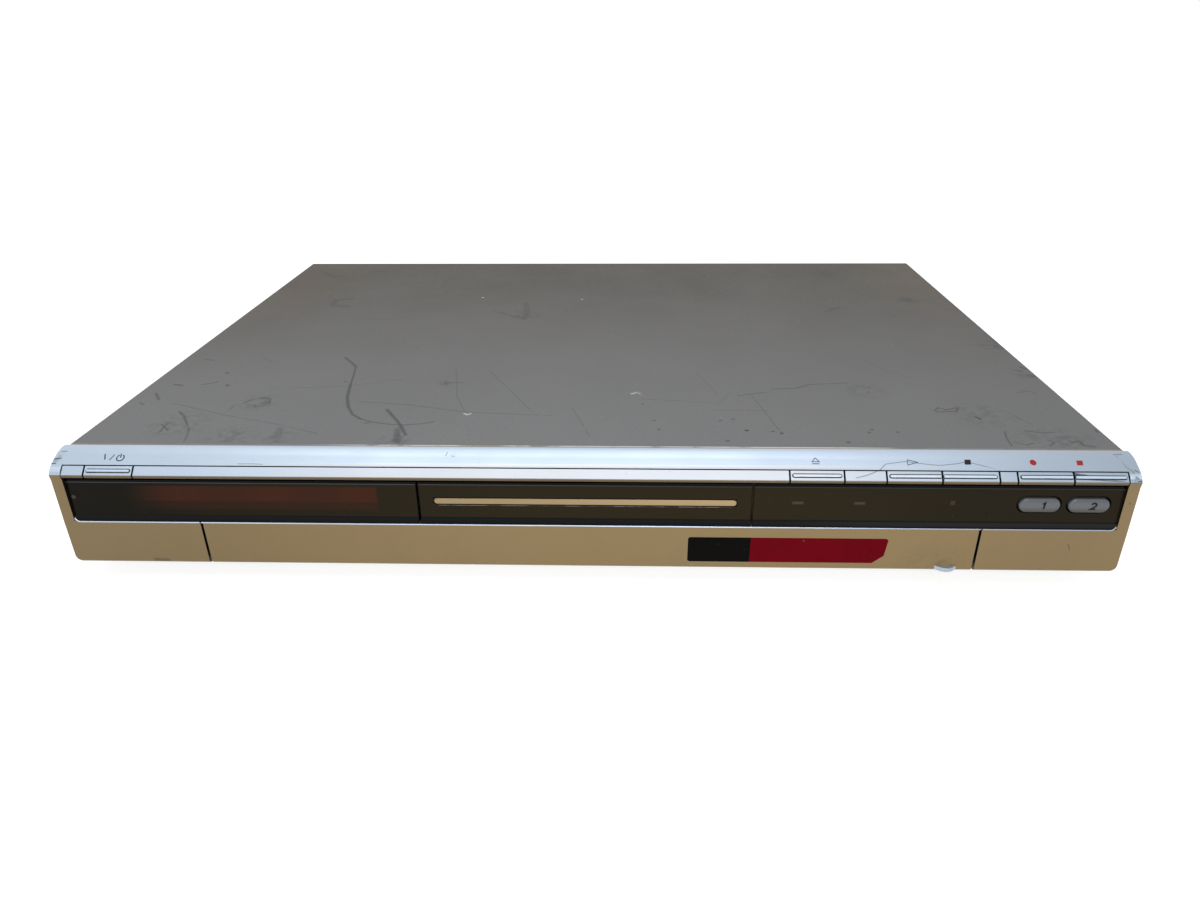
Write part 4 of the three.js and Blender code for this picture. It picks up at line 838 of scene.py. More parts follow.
# Wear, as places in millimetres across and behind the knife edge, and above the table on the front.
# A row is: place, radius and amount; or width, amount, share of gaps and points; a negative amount is pale.
COVER_SMUDGES = ((-152.8, 62.8, 7.0, 0.55), (-80.0, 22.0, 6.0, 0.5), (-44.0, 203.0, 8.0, 0.5),
                 (200.0, 26.0, 8.0, 0.2), (127.0, 81.0, 8.0, 0.35), (170.0, 52.0, 12.0, 0.3),
                 (190.0, 26.0, 13.0, 0.25), (150.5, 299.0, 7.0, 0.5), (188.0, 234.0, 6.0, 0.6),
                 (-195.7, 304.0, 6.0, 0.5), (-128.8, 24.0, 6.0, 0.35), (-178.0, 38.0, 12.0, 0.3),
                 (211.5, 145.0, 9.0, 0.6), (210.5, 105.0, 7.0, 0.6), (-150.0, 24.0, 10.0, 0.35),
                 (-71.2, 88.5, 3.0, 0.6))
COVER_SPECKS = ((-175.9, 84.3, 1.0, 0.9), (-182.9, 101.2, 1.0, 0.8), (-120.2, 89.7, 0.7, 0.7),
                (56.8, 44.3, 0.9, 0.5), (62.4, 46.0, 0.9, 0.5), (28.1, 44.0, 0.8, 0.5),
                (30.1, 34.4, 0.8, 0.6), (66.9, 34.0, 0.9, 1.0), (77.7, 33.1, 0.8, 0.7),
                (81.2, 31.3, 0.8, 1.0), (119.5, 35.5, 0.8, 0.7), (117.7, 32.5, 0.8, 0.7),
                (106.9, 22.6, 0.9, 0.7), (57.9, 23.4, 0.9, 0.6), (171.4, 201.3, 1.0, 0.5),
                (23.3, 62.8, 0.8, 0.5), (129.6, 33.1, 0.8, 0.7), (-75.9, 239.7, 0.8, -0.9),
                (-12.9, 235.6, 0.8, -0.7))
COVER_SCUFFS = (
    (1.5, 0.75, 0.0, ((-130.7, 125.0), (-126.0, 118.6), (-121.2, 111.4))),
    (1.0, 0.75, 0.0, ((-121.2, 111.4), (-118.8, 99.7), (-116.5, 85.3))),
    (1.6, 0.75, 0.0, ((-116.5, 85.3), (-113.5, 69.8), (-109.7, 58.2))),
    (1.3, 0.7, 0.0, ((-109.7, 58.2), (-105.4, 49.5), (-100.2, 44.2))),
    (1.0, 0.6, 0.2, ((-100.2, 44.2), (-93.6, 40.7), (-85.8, 38.5), (-79.2, 37.9), (-72.3, 39.3),
                     (-67.6, 41.6))),
    (1.5, 0.75, 0.4, ((-91.2, 54.9), (-87.1, 48.1), (-83.5, 42.1), (-79.8, 35.0), (-76.5, 27.5))),
    (2.6, 0.35, 0.3, ((-81.7, 33.1), (-78.1, 20.3))),
    (1.6, 0.5, 0.6, ((-47.2, 226.2), (-44.2, 206.8), (-44.6, 194.6))),
    (1.0, 0.35, 0.5, ((-60.1, 206.8), (-44.6, 194.6))),
    (1.6, 0.6, 0.2, ((-157.0, 219.0), (-167.2, 222.3), (-168.1, 233.5), (-158.7, 236.9))),
    (2.0, 0.6, 0.3, ((-193.0, 298.0), (-186.0, 292.0), (-181.0, 296.0))),
    (1.6, 0.5, 0.4, ((-164.0, 309.0), (-155.0, 307.0))),
    (0.7, 0.4, 0.5, ((-192.1, 61.6), (-162.0, 47.8), (-135.5, 38.2), (-114.0, 28.3))),
    (0.7, 0.45, 0.55, ((-106.1, 64.4), (-83.1, 61.0), (-55.6, 52.5), (-16.6, 48.9))),
    (0.8, 0.25, 0.5, ((-153.7, 80.1), (-120.0, 83.3), (-92.0, 93.6))),
    (0.7, 0.3, 0.6, ((-69.3, 106.6), (-62.3, 70.4), (-55.6, 52.5))),
    (0.6, 0.35, 0.6, ((-52.8, 106.7), (-26.4, 54.6))),
    (0.6, 0.35, 0.6, ((-7.8, 56.6), (0.9, 27.3))),
    (0.9, 0.35, 0.4, ((-183.7, 51.0), (-175.9, 40.3), (-170.4, 30.7))),
    (1.4, 0.8, 0.0, ((-202.1, 85.0), (-197.8, 84.1))),
    (1.1, 0.6, 0.5, ((-188.6, 85.2), (-185.7, 86.6), (-182.4, 89.1))),
    (1.3, 0.65, 0.4, ((-205.8, 73.7), (-200.3, 65.6))),
    (1.1, 0.6, 0.0, ((-207.1, 61.5), (-204.4, 59.4))),
    (0.9, 0.6, 0.3, ((-184.7, 51.9), (-180.2, 47.5), (-174.5, 37.5))),
    (1.0, 0.65, 0.4, ((-182.3, 29.0), (-183.1, 34.3), (-183.1, 38.2))),
    (0.9, 0.6, 0.4, ((-185.6, 37.4), (-179.8, 31.3))),
    (0.9, 0.8, 0.0, ((-96.9, 39.7), (-95.4, 40.1))),
    (1.4, 0.5, 0.3, ((-202.8, 121.4), (-197.9, 119.8))),
    (0.8, 0.3, 0.3, ((-174.0, 124.4), (-165.3, 116.2))),
    (1.5, 0.4, 0.3, ((-198.2, 304.7), (-192.0, 300.6))),
    (1.0, 0.25, 0.5, ((-135.5, 191.5), (-115.0, 195.2))),
    (0.9, 0.35, 0.5, ((-64.9, 210.2), (-53.7, 199.0), (-44.5, 193.3))),
    (1.0, 0.5, 0.4, ((-72.3, 88.2), (-68.6, 88.8), (-66.5, 88.8), (-63.1, 89.3))),
    (0.9, 0.65, 0.5, ((-158.7, 61.6), (-157.4, 66.0), (-153.4, 68.8), (-148.5, 67.0), (-147.4, 61.8),
                      (-151.1, 58.3), (-156.7, 59.9))),
    (1.0, -0.9, 0.6, ((-55.7, 51.0), (-54.1, 49.4), (-52.8, 51.0))),
    (0.8, 0.5, 0.5, ((-171.5, 33.7), (-168.5, 24.3), (-167.8, 20.3))),
    (0.8, 0.5, 0.5, ((-162.6, 53.9), (-162.3, 59.9))),
    (3.0, 0.35, 0.6, ((-129.5, 20.9), (-131.9, 33.4))),
    (2.6, 0.35, 0.5, ((-79.6, 21.5), (-80.7, 35.6))),
    (1.4, -0.9, 0.8, ((18.5, 75.4), (21.0, 77.1), (23.5, 73.8))),
    (0.7, 0.3, 0.6, ((23.7, 68.9), (53.8, 64.8))),
    (0.8, 0.35, 0.6, ((55.4, 56.2), (78.1, 55.7))),
    (1.0, 0.6, 0.6, ((67.7, 73.8), (82.4, 78.5), (84.6, 82.2), (95.6, 83.3), (102.3, 88.0), (121.5, 90.6))),
    (0.6, 0.4, 0.6, ((73.7, 73.5), (81.1, 31.1))),
    (0.6, 0.3, 0.6, ((50.3, 102.9), (58.1, 76.3))),
    (0.6, 0.3, 0.6, ((56.7, 63.2), (64.0, 76.3))),
    (0.7, 0.3, 0.6, ((136.7, 122.1), (143.8, 107.5), (155.2, 96.0))),
    (0.9, 0.25, 0.6, ((101.7, 281.2), (79.4, 256.0), (56.2, 226.6))),
    (1.0, 0.75, 0.4, ((152.0, 56.7), (154.6, 60.1), (157.0, 57.6), (163.3, 60.2), (161.2, 56.0),
                      (152.3, 55.1))),
    (1.5, 0.9, 0.0, ((167.5, 49.6), (168.5, 47.3))),
    (0.8, 0.65, 0.4, ((174.3, 34.4), (172.7, 28.9), (172.0, 23.5), (171.9, 20.1))),
    (0.8, 0.6, 0.4, ((173.9, 23.6), (177.9, 20.8), (181.6, 23.0))),
    (0.9, 0.65, 0.4, ((182.8, 35.2), (188.6, 33.1), (194.4, 33.9))),
    (0.9, 0.6, 0.3, ((188.6, 25.9), (189.9, 23.1), (187.0, 20.3))),
    (1.1, 0.7, 0.4, ((196.8, 23.2), (200.6, 25.3), (200.6, 20.5), (204.2, 19.8))),
    (0.9, 0.45, 0.4, ((196.4, 78.8), (202.1, 80.7), (204.2, 77.1))),
    (0.8, 0.4, 0.4, ((184.6, 51.8), (185.4, 47.9), (188.5, 42.1))),
    (1.0, 0.85, 0.0, ((212.3, 36.4), (212.2, 34.1))),
    (2.2, 0.75, 0.0, ((187.5, 236.8), (188.8, 231.9))),
    (2.4, 0.4, 0.4, ((150.7, 306.9), (150.6, 292.0))),
    (1.2, 0.35, 0.5, ((132.8, 207.0), (139.9, 216.1), (143.5, 217.6))),
    (1.4, 0.7, 0.3, ((211.7, 156.6), (213.1, 153.5))),
    (1.4, 0.7, 0.3, ((211.2, 112.9), (212.5, 110.8))),
    (1.4, 0.7, 0.3, ((210.7, 102.7), (212.1, 99.7))),
)
FRONT_WEAR = (((-214.6, 6.6, 55.1), 2.4, 0.5), ((-53.2, 9.0, 56.2), 1.0, 1.0),
              ((213.4, 1.6, 52.0), 2.4, 0.4), ((212.6, 0.9, 41.0), 0.6, 0.8),
              ((146.0, 1.6, 13.2), 7.0, 0.18), ((133.0, 1.6, 12.6), 5.0, 0.15))
FRONT_SCRATCHES = (
    (0.38, 0.6, ((105.8, 0.9, 51.1), (110.5, 1.8, 52.0), (115.3, 3.3, 53.5), (118.1, 5.9, 54.9),
                 (125.7, 7.1, 55.4), (133.3, 6.0, 54.9), (138.9, 5.4, 54.6), (144.9, 6.1, 55.0),
                 (149.8, 7.1, 55.4), (154.4, 5.7, 54.8), (161.6, 3.5, 53.4))),
    (1.5, 0.5, ((-181.0, 1.75, 10.3), (-175.4, 1.75, 9.9))),
    (0.6, 0.85, ((-214.8, 5.8, 54.9), (-212.2, 6.0, 55.0))),
    (0.6, 0.85, ((-215.0, 3.6, 53.8), (-213.4, 3.7, 53.8))),
    (0.6, 0.7, ((-213.4, 9.6, 56.3), (-211.4, 9.7, 56.3))),
    (0.35, 0.5, ((208.6, 10.4, 56.6), (210.4, 4.7, 54.3))),
    (0.4, 0.6, ((210.8, 4.7, 54.3), (213.1, 0.9, 51.6))),
    (0.4, 0.55, ((211.6, 3.9, 53.9), (213.7, 0.9, 51.4))),
    (0.5, 0.6, ((213.0, 3.7, 53.8), (214.0, 3.1, 53.4))),
    (0.5, 0.8, ((213.4, 0.3, 50.7), (215.0, 0.4, 50.7))),
    (0.3, 0.45, ((195.9, 4.3, 53.5), (197.7, 4.3, 53.8), (199.9, 4.2, 53.6), (202.9, 4.2, 53.6))),
    (0.6, 0.6, ((208.0, 11.5, 56.8), (211.0, 11.8, 56.8))),
    (0.4, 0.7, ((193.2, 1.3, 21.9), (194.4, 1.4, 19.3))),
    (0.5, 0.35, ((-69.0, 1.4, 27.0), (-60.0, 1.4, 27.2))),
    (0.4, 0.3, ((-20.0, 1.5, 26.4), (-14.0, 1.5, 26.6))),
    (0.3, 0.8, ((-56.0, 8.4, 56.0), (-55.6, 10.4, 56.6))),
    (0.35, 0.55, ((-139.0, 4.0, 54.0), (-133.5, 4.1, 54.0), (-129.0, 3.9, 53.9))),
)


def finishes(settings):
    """Every finish by the name of the record's material slot."""
    return {
        "grey_steel": cover_paint(settings),
        "silver_paint": front_paint(settings),
        "window_glass": acrylic(settings),
        "stripe_gold": stripe_metal(settings),
        "key_grey": pill_paint(settings),
        "zinc_steel": metal_sheet("plated_steel", srgb(158, 160, 158)),
        "black_plastic": moulded("black_moulding", srgb(30, 30, 32)),
        "grey_plastic": moulded("grey_moulding", srgb(74, 76, 80), 0.55),
        "white_plastic": moulded("white_moulding", srgb(214, 212, 204), 0.42, 900.0, 0.1),
        "amber_plastic": moulded("amber_moulding", srgb(184, 138, 48), 0.42, 900.0, 0.1),
        "jack_yellow": moulded("yellow_moulding", srgb(214, 178, 44), 0.38, 900.0, 0.08),
        "jack_white": moulded("pale_moulding", srgb(228, 226, 218), 0.38, 900.0, 0.08),
        "jack_red": moulded("red_moulding", srgb(176, 36, 42), 0.38, 900.0, 0.08),
        "board_green": circuit_board("green_board", srgb(30, 88, 56), srgb(190, 186, 170)),
        "board_tan": circuit_board("tan_board", srgb(166, 126, 72), srgb(196, 190, 172)),
        "cast_alloy": cast_metal("cast_alloy", srgb(164, 166, 168)),
        "polished_steel": turned_steel("ground_steel", srgb(202, 204, 206)),
        "winding_tape": wound_tape("winding_tape", srgb(198, 166, 60)),
        "capacitor_sleeve": sleeve("capacitor_sleeve", srgb(40, 44, 58), srgb(196, 200, 206)),
        "rubber": rubber("foot_rubber", srgb(24, 24, 24)),
        # This ink also paints the shadow outlines round the keys' raised bars.
        "dark_print_and_shadow": print_ink("dark_print_and_shadow", srgb(20, 20, 26)),
        "key_print": print_ink("key_print", srgb(14, 12, 12)),
        "red_print": print_ink("red_print", srgb(152, 40, 30)),
        "label": sticker_paper(settings),
        "lip": lip_paint(settings),
        "groove_edge": groove_edge("groove_edge", srgb(128, 130, 134)),
        "jack_sleeves": jack_sleeves(settings),
        "contact_block": moulded("contact_block", srgb(40, 41, 44), 0.42),
        "display_glass": moulded("display_glass", srgb(64, 38, 28), 0.12, 700.0, 0.03),
    }


FINISHES = {}


def finish_of(slot_name):
    same = {"pearl_key": "silver_paint", "taupe_paint": "silver_paint"}
    return FINISHES[same.get(slot_name, slot_name)]


# Repeated pieces by Geometry Nodes

class Tree:
    """A Geometry Nodes tree with named inputs and one output."""

    def __init__(self, name, output, **inputs):
        self.tree = bpy.data.node_groups.new(name, "GeometryNodeTree")
        for key, kind in inputs.items():
            self.tree.interface.new_socket(key.replace("_", " "), in_out="INPUT",
                                           socket_type="NodeSocket" + kind)
        self.tree.interface.new_socket(output, in_out="OUTPUT", socket_type="NodeSocketGeometry")
        self.given = self.tree.nodes.new("NodeGroupInput").outputs

    def add(self, kind, inputs, **settings):
        """A node with its sockets linked or set; a list goes into one socket that takes many links."""
        node = self.tree.nodes.new(kind)
        for key, value in settings.items():
            setattr(node, key, value)
        for key, value in inputs.items():
            for source in value if isinstance(value, list) else [value]:
                if isinstance(source, bpy.types.NodeSocket):
                    self.tree.links.new(source, node.inputs[key])
                else:
                    node.inputs[key].default_value = source
        return node.outputs[0]

    def times(self, socket, factor):
        return self.add("ShaderNodeMath", {0: socket, 1: factor}, operation="MULTIPLY")

    def finished(self, shape):
        """Makes the shape's instances real, paints it and gives it out."""
        real = self.add("GeometryNodeRealizeInstances", {"Geometry": shape})
        painted = self.add("GeometryNodeSetMaterial", {"Geometry": real, "Material": self.given["Finish"]})
        self.tree.links.new(painted, self.tree.nodes.new("NodeGroupOutput").inputs[0])
        return self.tree


# Shares of a screw head's radius, and how high its cross is cut, as a share of its height
HEAD_TOP = 0.72
CROSS_LENGTH, CROSS_WIDTH, CROSS_RISE = 1.15, 0.24, 0.9


def screw_tree():
    """Sets a cross-head screw on every point of a mesh and turns it to one direction."""
    tree = Tree("case_screws", "Screws", Points="Geometry", Head_radius="Float", Head_height="Float",
                Sides="Int", Turn="Rotation", Finish="Material")
    radius, height = tree.given["Head radius"], tree.given["Head height"]
    head = tree.add("GeometryNodeMeshCone", {
        "Vertices": tree.given["Sides"], "Radius Top": tree.times(radius, HEAD_TOP), "Radius Bottom": radius,
        "Depth": height})
    up = tree.add("ShaderNodeCombineXYZ", {"Z": tree.times(height, CROSS_RISE)})
    cutters = []
    for across, along in ((CROSS_LENGTH, CROSS_WIDTH), (CROSS_WIDTH, CROSS_LENGTH)):
        size = tree.add("ShaderNodeCombineXYZ", {
            "X": tree.times(radius, across), "Y": tree.times(radius, along), "Z": height})
        bar = tree.add("GeometryNodeMeshCube", {"Size": size})
        cutters.append(tree.add("GeometryNodeTransform", {"Geometry": bar, "Translation": up}))
    cut = tree.add("GeometryNodeMeshBoolean", {"Mesh 1": head, "Mesh 2": cutters}, operation="DIFFERENCE",
                   solver="EXACT")
    points = tree.add("GeometryNodeMeshToPoints", {"Mesh": tree.given["Points"]})
    return tree.finished(tree.add("GeometryNodeInstanceOnPoints", {
        "Points": points, "Instance": cut, "Rotation": tree.given["Turn"]}))


def bead_tree():
    """Runs a rounded bead along a chain of edges."""
    tree = Tree("edge_bead", "Bead", Path="Geometry", Depth="Float", Height="Float", Rounding="Float",
                Finish="Material")
    given = tree.given
    curve = tree.add("GeometryNodeMeshToCurve", {"Mesh": given["Path"]})
    section = tree.add("GeometryNodeCurvePrimitiveQuadrilateral", {
        "Width": given["Depth"], "Height": given["Height"]})
    soft = tree.add("GeometryNodeFilletCurve", {"Curve": section, "Radius": given["Rounding"], "Count": 3},
                    mode="POLY")
    return tree.finished(tree.add("GeometryNodeCurveToMesh", {
        "Curve": curve, "Profile Curve": soft, "Fill Caps": True}))


def contact_tree():
    """Cuts a slot into a block at every point of a mesh."""
    tree = Tree("contact_slots", "Block", Places="Geometry", Block_size="Vector", Block_centre="Vector",
                Slot_size="Vector", Finish="Material")
    given = tree.given
    block = tree.add("GeometryNodeMeshCube", {"Size": given["Block size"]})
    block = tree.add("GeometryNodeTransform", {"Geometry": block, "Translation": given["Block centre"]})
    slot = tree.add("GeometryNodeMeshCube", {"Size": given["Slot size"]})
    points = tree.add("GeometryNodeMeshToPoints", {"Mesh": given["Places"]})
    slots = tree.add("GeometryNodeInstanceOnPoints", {"Points": points, "Instance": slot})
    return tree.finished(tree.add("GeometryNodeMeshBoolean", {"Mesh 1": block, "Mesh 2": slots},
                                  operation="DIFFERENCE", solver="EXACT"))


def by_tree(name, tree, points, values, edges=()):
    """An object made by a tree from points or a chain of edges, as a plain mesh."""
    mesh = bpy.data.meshes.new(name)
    mesh.from_pydata([tuple(p) for p in points], list(edges), [])
    obj = link(name, mesh)
    modifier = obj.modifiers.new(tree.name, "NODES")
    modifier.node_group = tree
    for item in tree.interface.items_tree:
        if item.in_out == "INPUT" and item.name in values:
            modifier[item.identifier] = values[item.name]
    return baked(obj)


def screws(name, tree, settings, points, turn, body, slot="zinc_steel"):
    obj = by_tree(name, tree, points, {
        "Head radius": settings.screw_radius, "Head height": settings.screw_height,
        "Sides": settings.screw_sides, "Turn": turn, "Finish": finish_of(slot)})
    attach(obj, body)
    return obj


def bead(name, tree, path, depth, height, finish, slot, body):
    """A bead through points in millimetres across, behind the knife edge and above the table."""
    obj = by_tree(name, tree, [spot(*place) for place in path], {
        "Depth": depth * MM, "Height": height * MM, "Rounding": min(depth, height) * 0.35 * MM,
        "Finish": finish}, [(k, k + 1) for k in range(len(path) - 1)])
    bm = opened(obj)
    bmesh.ops.remove_doubles(bm, verts=bm.verts, dist=1e-7)
    bmesh.ops.recalc_face_normals(bm, faces=bm.faces)
    return piece(name, bm, finish, slot, body)


# Thin marks laid on a surface

class Skin:
    """The outer side of a piece, found by looking at it along one direction."""

    def __init__(self, obj, direction):
        mesh = obj.data
        self.tree = BVHTree.FromPolygons([v.co for v in mesh.vertices], [p.vertices for p in mesh.polygons])
        self.direction = Vector(direction)

    def at(self, point, lift):
        found, normal, _, _ = self.tree.ray_cast(point - self.direction * 0.05, self.direction, 0.1)
        if found is None:
            raise RuntimeError("a mark lies off its surface")
        if normal.dot(self.direction) > 0:
            normal = -normal
        return found + normal * lift


def laid(name, skin, outlines, to_point, finish, slot, body, lift=0.03, depth=0.08, strip=0.35):
    """Thin closed shapes laid on a skin; outlines are in millimetres and cut into strips to follow it."""
    bm = bmesh.new()
    for outline in outlines:
        bm.faces.new([bm.verts.new((u, v, 0.0)) for u, v in outline])
    low = min(v.co.y for v in bm.verts)
    high = max(v.co.y for v in bm.verts)
    for k in range(1, int((high - low) / strip) + 1):
        geometry = list(bm.verts) + list(bm.edges) + list(bm.faces)
        bmesh.ops.bisect_plane(bm, geom=geometry, plane_co=(0, low + k * strip, 0), plane_no=(0, 1, 0),
                               dist=1e-5)
    for vert in bm.verts:
        vert.co = skin.at(to_point(vert.co.x, vert.co.y), lift * MM)
    out = -skin.direction
    for face in bm.faces:
        face.normal_update()
        if face.normal.dot(out) < 0:
            face.normal_flip()
    bmesh.ops.solidify(bm, geom=list(bm.faces), thickness=depth * MM)
    bmesh.ops.recalc_face_normals(bm, faces=bm.faces)
    return piece(name, bm, finish, slot, body)


def stroke(points, width, closed=False):
    """Quads along a line in millimetres, mitred at its corners."""
    count = len(points)
    sides = []
    for k, (x, y) in enumerate(points):
        before = points[k - 1] if closed or k else points[k]
        after = points[(k + 1) % count] if closed or k < count - 1 else points[k]
        first, second = Vector((x - before[0], y - before[1])), Vector((after[0] - x, after[1] - y))
        first = first.normalized() if first.length else second.normalized()
        second = second.normalized() if second.length else first
        along = (first + second).normalized()
        half = width / 2 / max(along.dot(first), 0.3)
        sides.append(((x - along.y * half, y + along.x * half), (x + along.y * half, y - along.x * half)))
    ends = range(count if closed else count - 1)
    return [(sides[k][0], sides[k][1], sides[(k + 1) % count][1], sides[(k + 1) % count][0]) for k in ends]


# Operators: one for each piece or group of like pieces

class RecorderOperator:
    bl_options = {"REGISTER", "UNDO"}

    def execute(self, context):
        if not FINISHES:
            FINISHES.update(finishes(context.scene.recorder))
        self.build(context.scene.recorder)
        return {"FINISHED"}


# Places of the case screws and of the cover's wall, in millimetres
SCREW_RISE = 15.0
SCREW_DEPTHS = (62.0, 252.0)
SCREW_RECESS = 4.2
REAR_SCREWS = ((50.5, (-203.0, -110.0, -14.0, 40.0, 120.0, 203.0)), (14.5, (-203.0, -110.0, -20.0, 203.0)))
PAN_SIDE = 213.7
COVER_WALL = 1.0


class RECORDER_OT_cover(RecorderOperator, bpy.types.Operator):
    """Folded steel cover with its bent long edges and the recesses of its side screws"""
    bl_idname = "recorder.cover"
    bl_label = "Cover"

    def build(self, settings):
        half, low, top = CAD_HIGH.x / MM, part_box("top_cover")[0].z / MM, ROOF_Z / MM
        front, rear = (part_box("top_cover")[0].y - KNIFE_Y) / MM, (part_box("top_cover")[1].y - KNIFE_Y) / MM
        bend, wall = settings.cover_bend, COVER_WALL
        outer = (arc((half - bend, top - bend), bend, 0, 90, 8)
                 + arc((bend - half, top - bend), bend, 90, 180, 8))
        inner = (arc((half - bend, top - bend), bend - wall, 0, 90, 8)
                 + arc((bend - half, top - bend), bend - wall, 90, 180, 8))
        outline = ([(half, low)] + outer + [(-half, low), (wall - half, low)] + inner[::-1]
                   + [(half - wall, low)])
        shell = as_object("shell", profile_run(outline, front, rear, "y"))
        holes = bmesh.new()
        for hand in (-1, 1):
            for depth in SCREW_DEPTHS:
                ring = arc((depth, SCREW_RISE), SCREW_RECESS, 0, 348.75, 31)
                merged(holes, profile_run(ring, hand * (half - 2.5), hand * (half + 1.0), "x"))
        bmesh.ops.recalc_face_normals(holes, faces=holes.faces)
        cutter = as_object("cutter", holes)
        cut = shell.modifiers.new("screw_holes", "BOOLEAN")
        cut.operation, cut.object, cut.solver = "DIFFERENCE", cutter, "EXACT"
        bm = opened(baked(shell))
        bpy.data.objects.remove(cutter)
        rounded(bm, 0.15, 2, 35.0)
        piece("cover_shell", bm, finish_of("grey_steel"), "grey_steel", "case", "top_cover")


class RECORDER_OT_front(RecorderOperator, bpy.types.Operator):
    """Crowned band, cheeks and lower face of the front moulding"""
    bl_idname = "recorder.front"
    bl_label = "Front moulding"

    def build(self, settings):
        bm = copied("front_bezel")
        half = CAD_HIGH.x - 0.1 * MM
        rounded(bm, FRONT_LOW_CORNER, 6, 30.0,
                lambda e: all(abs(v.co.x) > half and v.co.z < 9.6 * MM for v in e.verts), clamp=False)
        rounded(bm, settings.edge_width, 2, 30.0)
        for hand in (-1, 1):
            corner = [(hand * x, z) for x, z in [(210.6, 27.8)] + arc(CORNER_CENTRE, 2.3, -90, 0, 8)[::-1]]
            merged(bm, profile_run(corner, 1.05, 1.95, "y"))
        piece("front_moulding", bm, finish_of("silver_paint"), "silver_paint", "case", "front_bezel",
              bare=self.shaded_or_unpainted)
        tree = bead_tree()
        # Beads along the lower edge of the windows; their bright finish is a painted highlight.
        for hand, side in ((-1, "left"), (1, "right")):
            path = [(hand * x, LIP_BACK, z)
                    for x, z in [(158.4, LIP_RISE)] + arc(CORNER_CENTRE, 2.1, -90, -12, 10)]
            bead(side + "_lip", tree, path, *LIP_SIZE, finish_of("lip"), "silver_paint", "case")
        path = [(end * FLAP_HALF, LIP_BACK, LIP_RISE) for end in (-1, 1)]
        bead("flap_lip", tree, path, *LIP_SIZE, finish_of("lip"), "silver_paint", "flap")

    def shaded_or_unpainted(self, normal, x, y, z):
        """Inner walls and the groove behind the strip, which get painted shade, and the faces that look into
        the case, which are bare.
        """
        inner_wall = abs(normal.x) > 0.2 and abs(x) < (209.0 if z < 47.0 else 213.5) and y > 0.1
        groove = normal.y < -0.5 and 2.9 < y < 3.5 and z < 53.4
        return inner_wall or groove or normal.y > 0.6 or (normal.z < -0.5 and z > 20.0)


class RECORDER_OT_keys(RecorderOperator, bpy.types.Operator):
    """Blank strip segments and the six rail keys with their raised bars"""
    bl_idname = "recorder.keys"
    bl_label = "Key rail"

    def build(self, settings):
        # Side, back and under faces; the sides get painted shade in the seams between the keys.
        def sides(normal, x, y, z):
            return abs(normal.x) > 0.2 or normal.y > 0.35 or normal.z < -0.5

        dressed("key_rail", finish_of("pearl_key"), "pearl_key", 0.18, bare=sides)
        for node in ("power_key", "eject_key", "play_key", "stop_key", "record_key", "record_stop_key"):
            key = dressed(node, finish_of("pearl_key"), "pearl_key", 0.18, bare=lambda normal, x, y, z: sides(
                normal, x, y, z) and not self.proud(y, z), ends=(0.1, 0.1))
            side = {"play_key": 1, "stop_key": -1, "record_key": 1, "record_stop_key": -1}.get(node, 0)
            if side:
                self.run_on(key, side)
            raised = [v.co for v in key.data.vertices if self.proud((v.co.y - KNIFE_Y) / MM, v.co.z / MM)]
            across = [co.x / MM for co in raised]
            up = [((co.y - KNIFE_Y) / MM + co.z / MM - KNIFE_Z) * SLOPE for co in raised]
            centre = ((min(across) + max(across)) / 2, (min(up) + max(up)) / 2)
            width, height = max(across) - min(across) + 0.5, max(up) - min(up) + 0.5
            ring = stadium(width, height, centre, 8)
            if side:
                far = centre[0] - side * (width - height) / 2
                seam = centre[0] + side * width / 2 - side * 0.25
                ring = arc((far, centre[1]), height / 2, 90 * side, 90 * side + 180, 8)
                ring = [(seam, ring[0][1])] + ring + [(seam, ring[-1][1])]
            laid(node + "_bar_shadow", Skin(key, (0, SLOPE, -SLOPE)), stroke(ring, 0.38, not side),
                 lambda u, v: spot(u, v * SLOPE, KNIFE_Z + v * SLOPE), finish_of("dark_print_and_shadow"),
                 "black_plastic", body_of_node(node), 0.01, 0.06)

    def run_on(self, key, side):
        """Carry the raised bar's end to the seam, where it runs on in the next key's bar."""
        places = [v.co for v in key.data.vertices]
        bar = [co for co in places if self.proud((co.y - KNIFE_Y) / MM, co.z / MM)]
        end, edge = max(co.x * side for co in bar), max(co.x * side for co in places)
        low, high = min(co.y for co in bar), max(co.y for co in bar)
        for co in places:
            risen = (co.z - KNIFE_Z * MM) - (co.y - KNIFE_Y) > -0.05 * MM
            beside = end - 0.9 * MM < co.x * side < edge - 0.5 * MM
            if risen and beside and low - 0.2 * MM < co.y < high + 0.2 * MM:
                co.x += side * (edge - end - 0.3 * MM)

    def proud(self, y, z):
        """Whether a point stands above the strip's sloping face."""
        return (z - KNIFE_Z - y) * SLOPE > 0.08


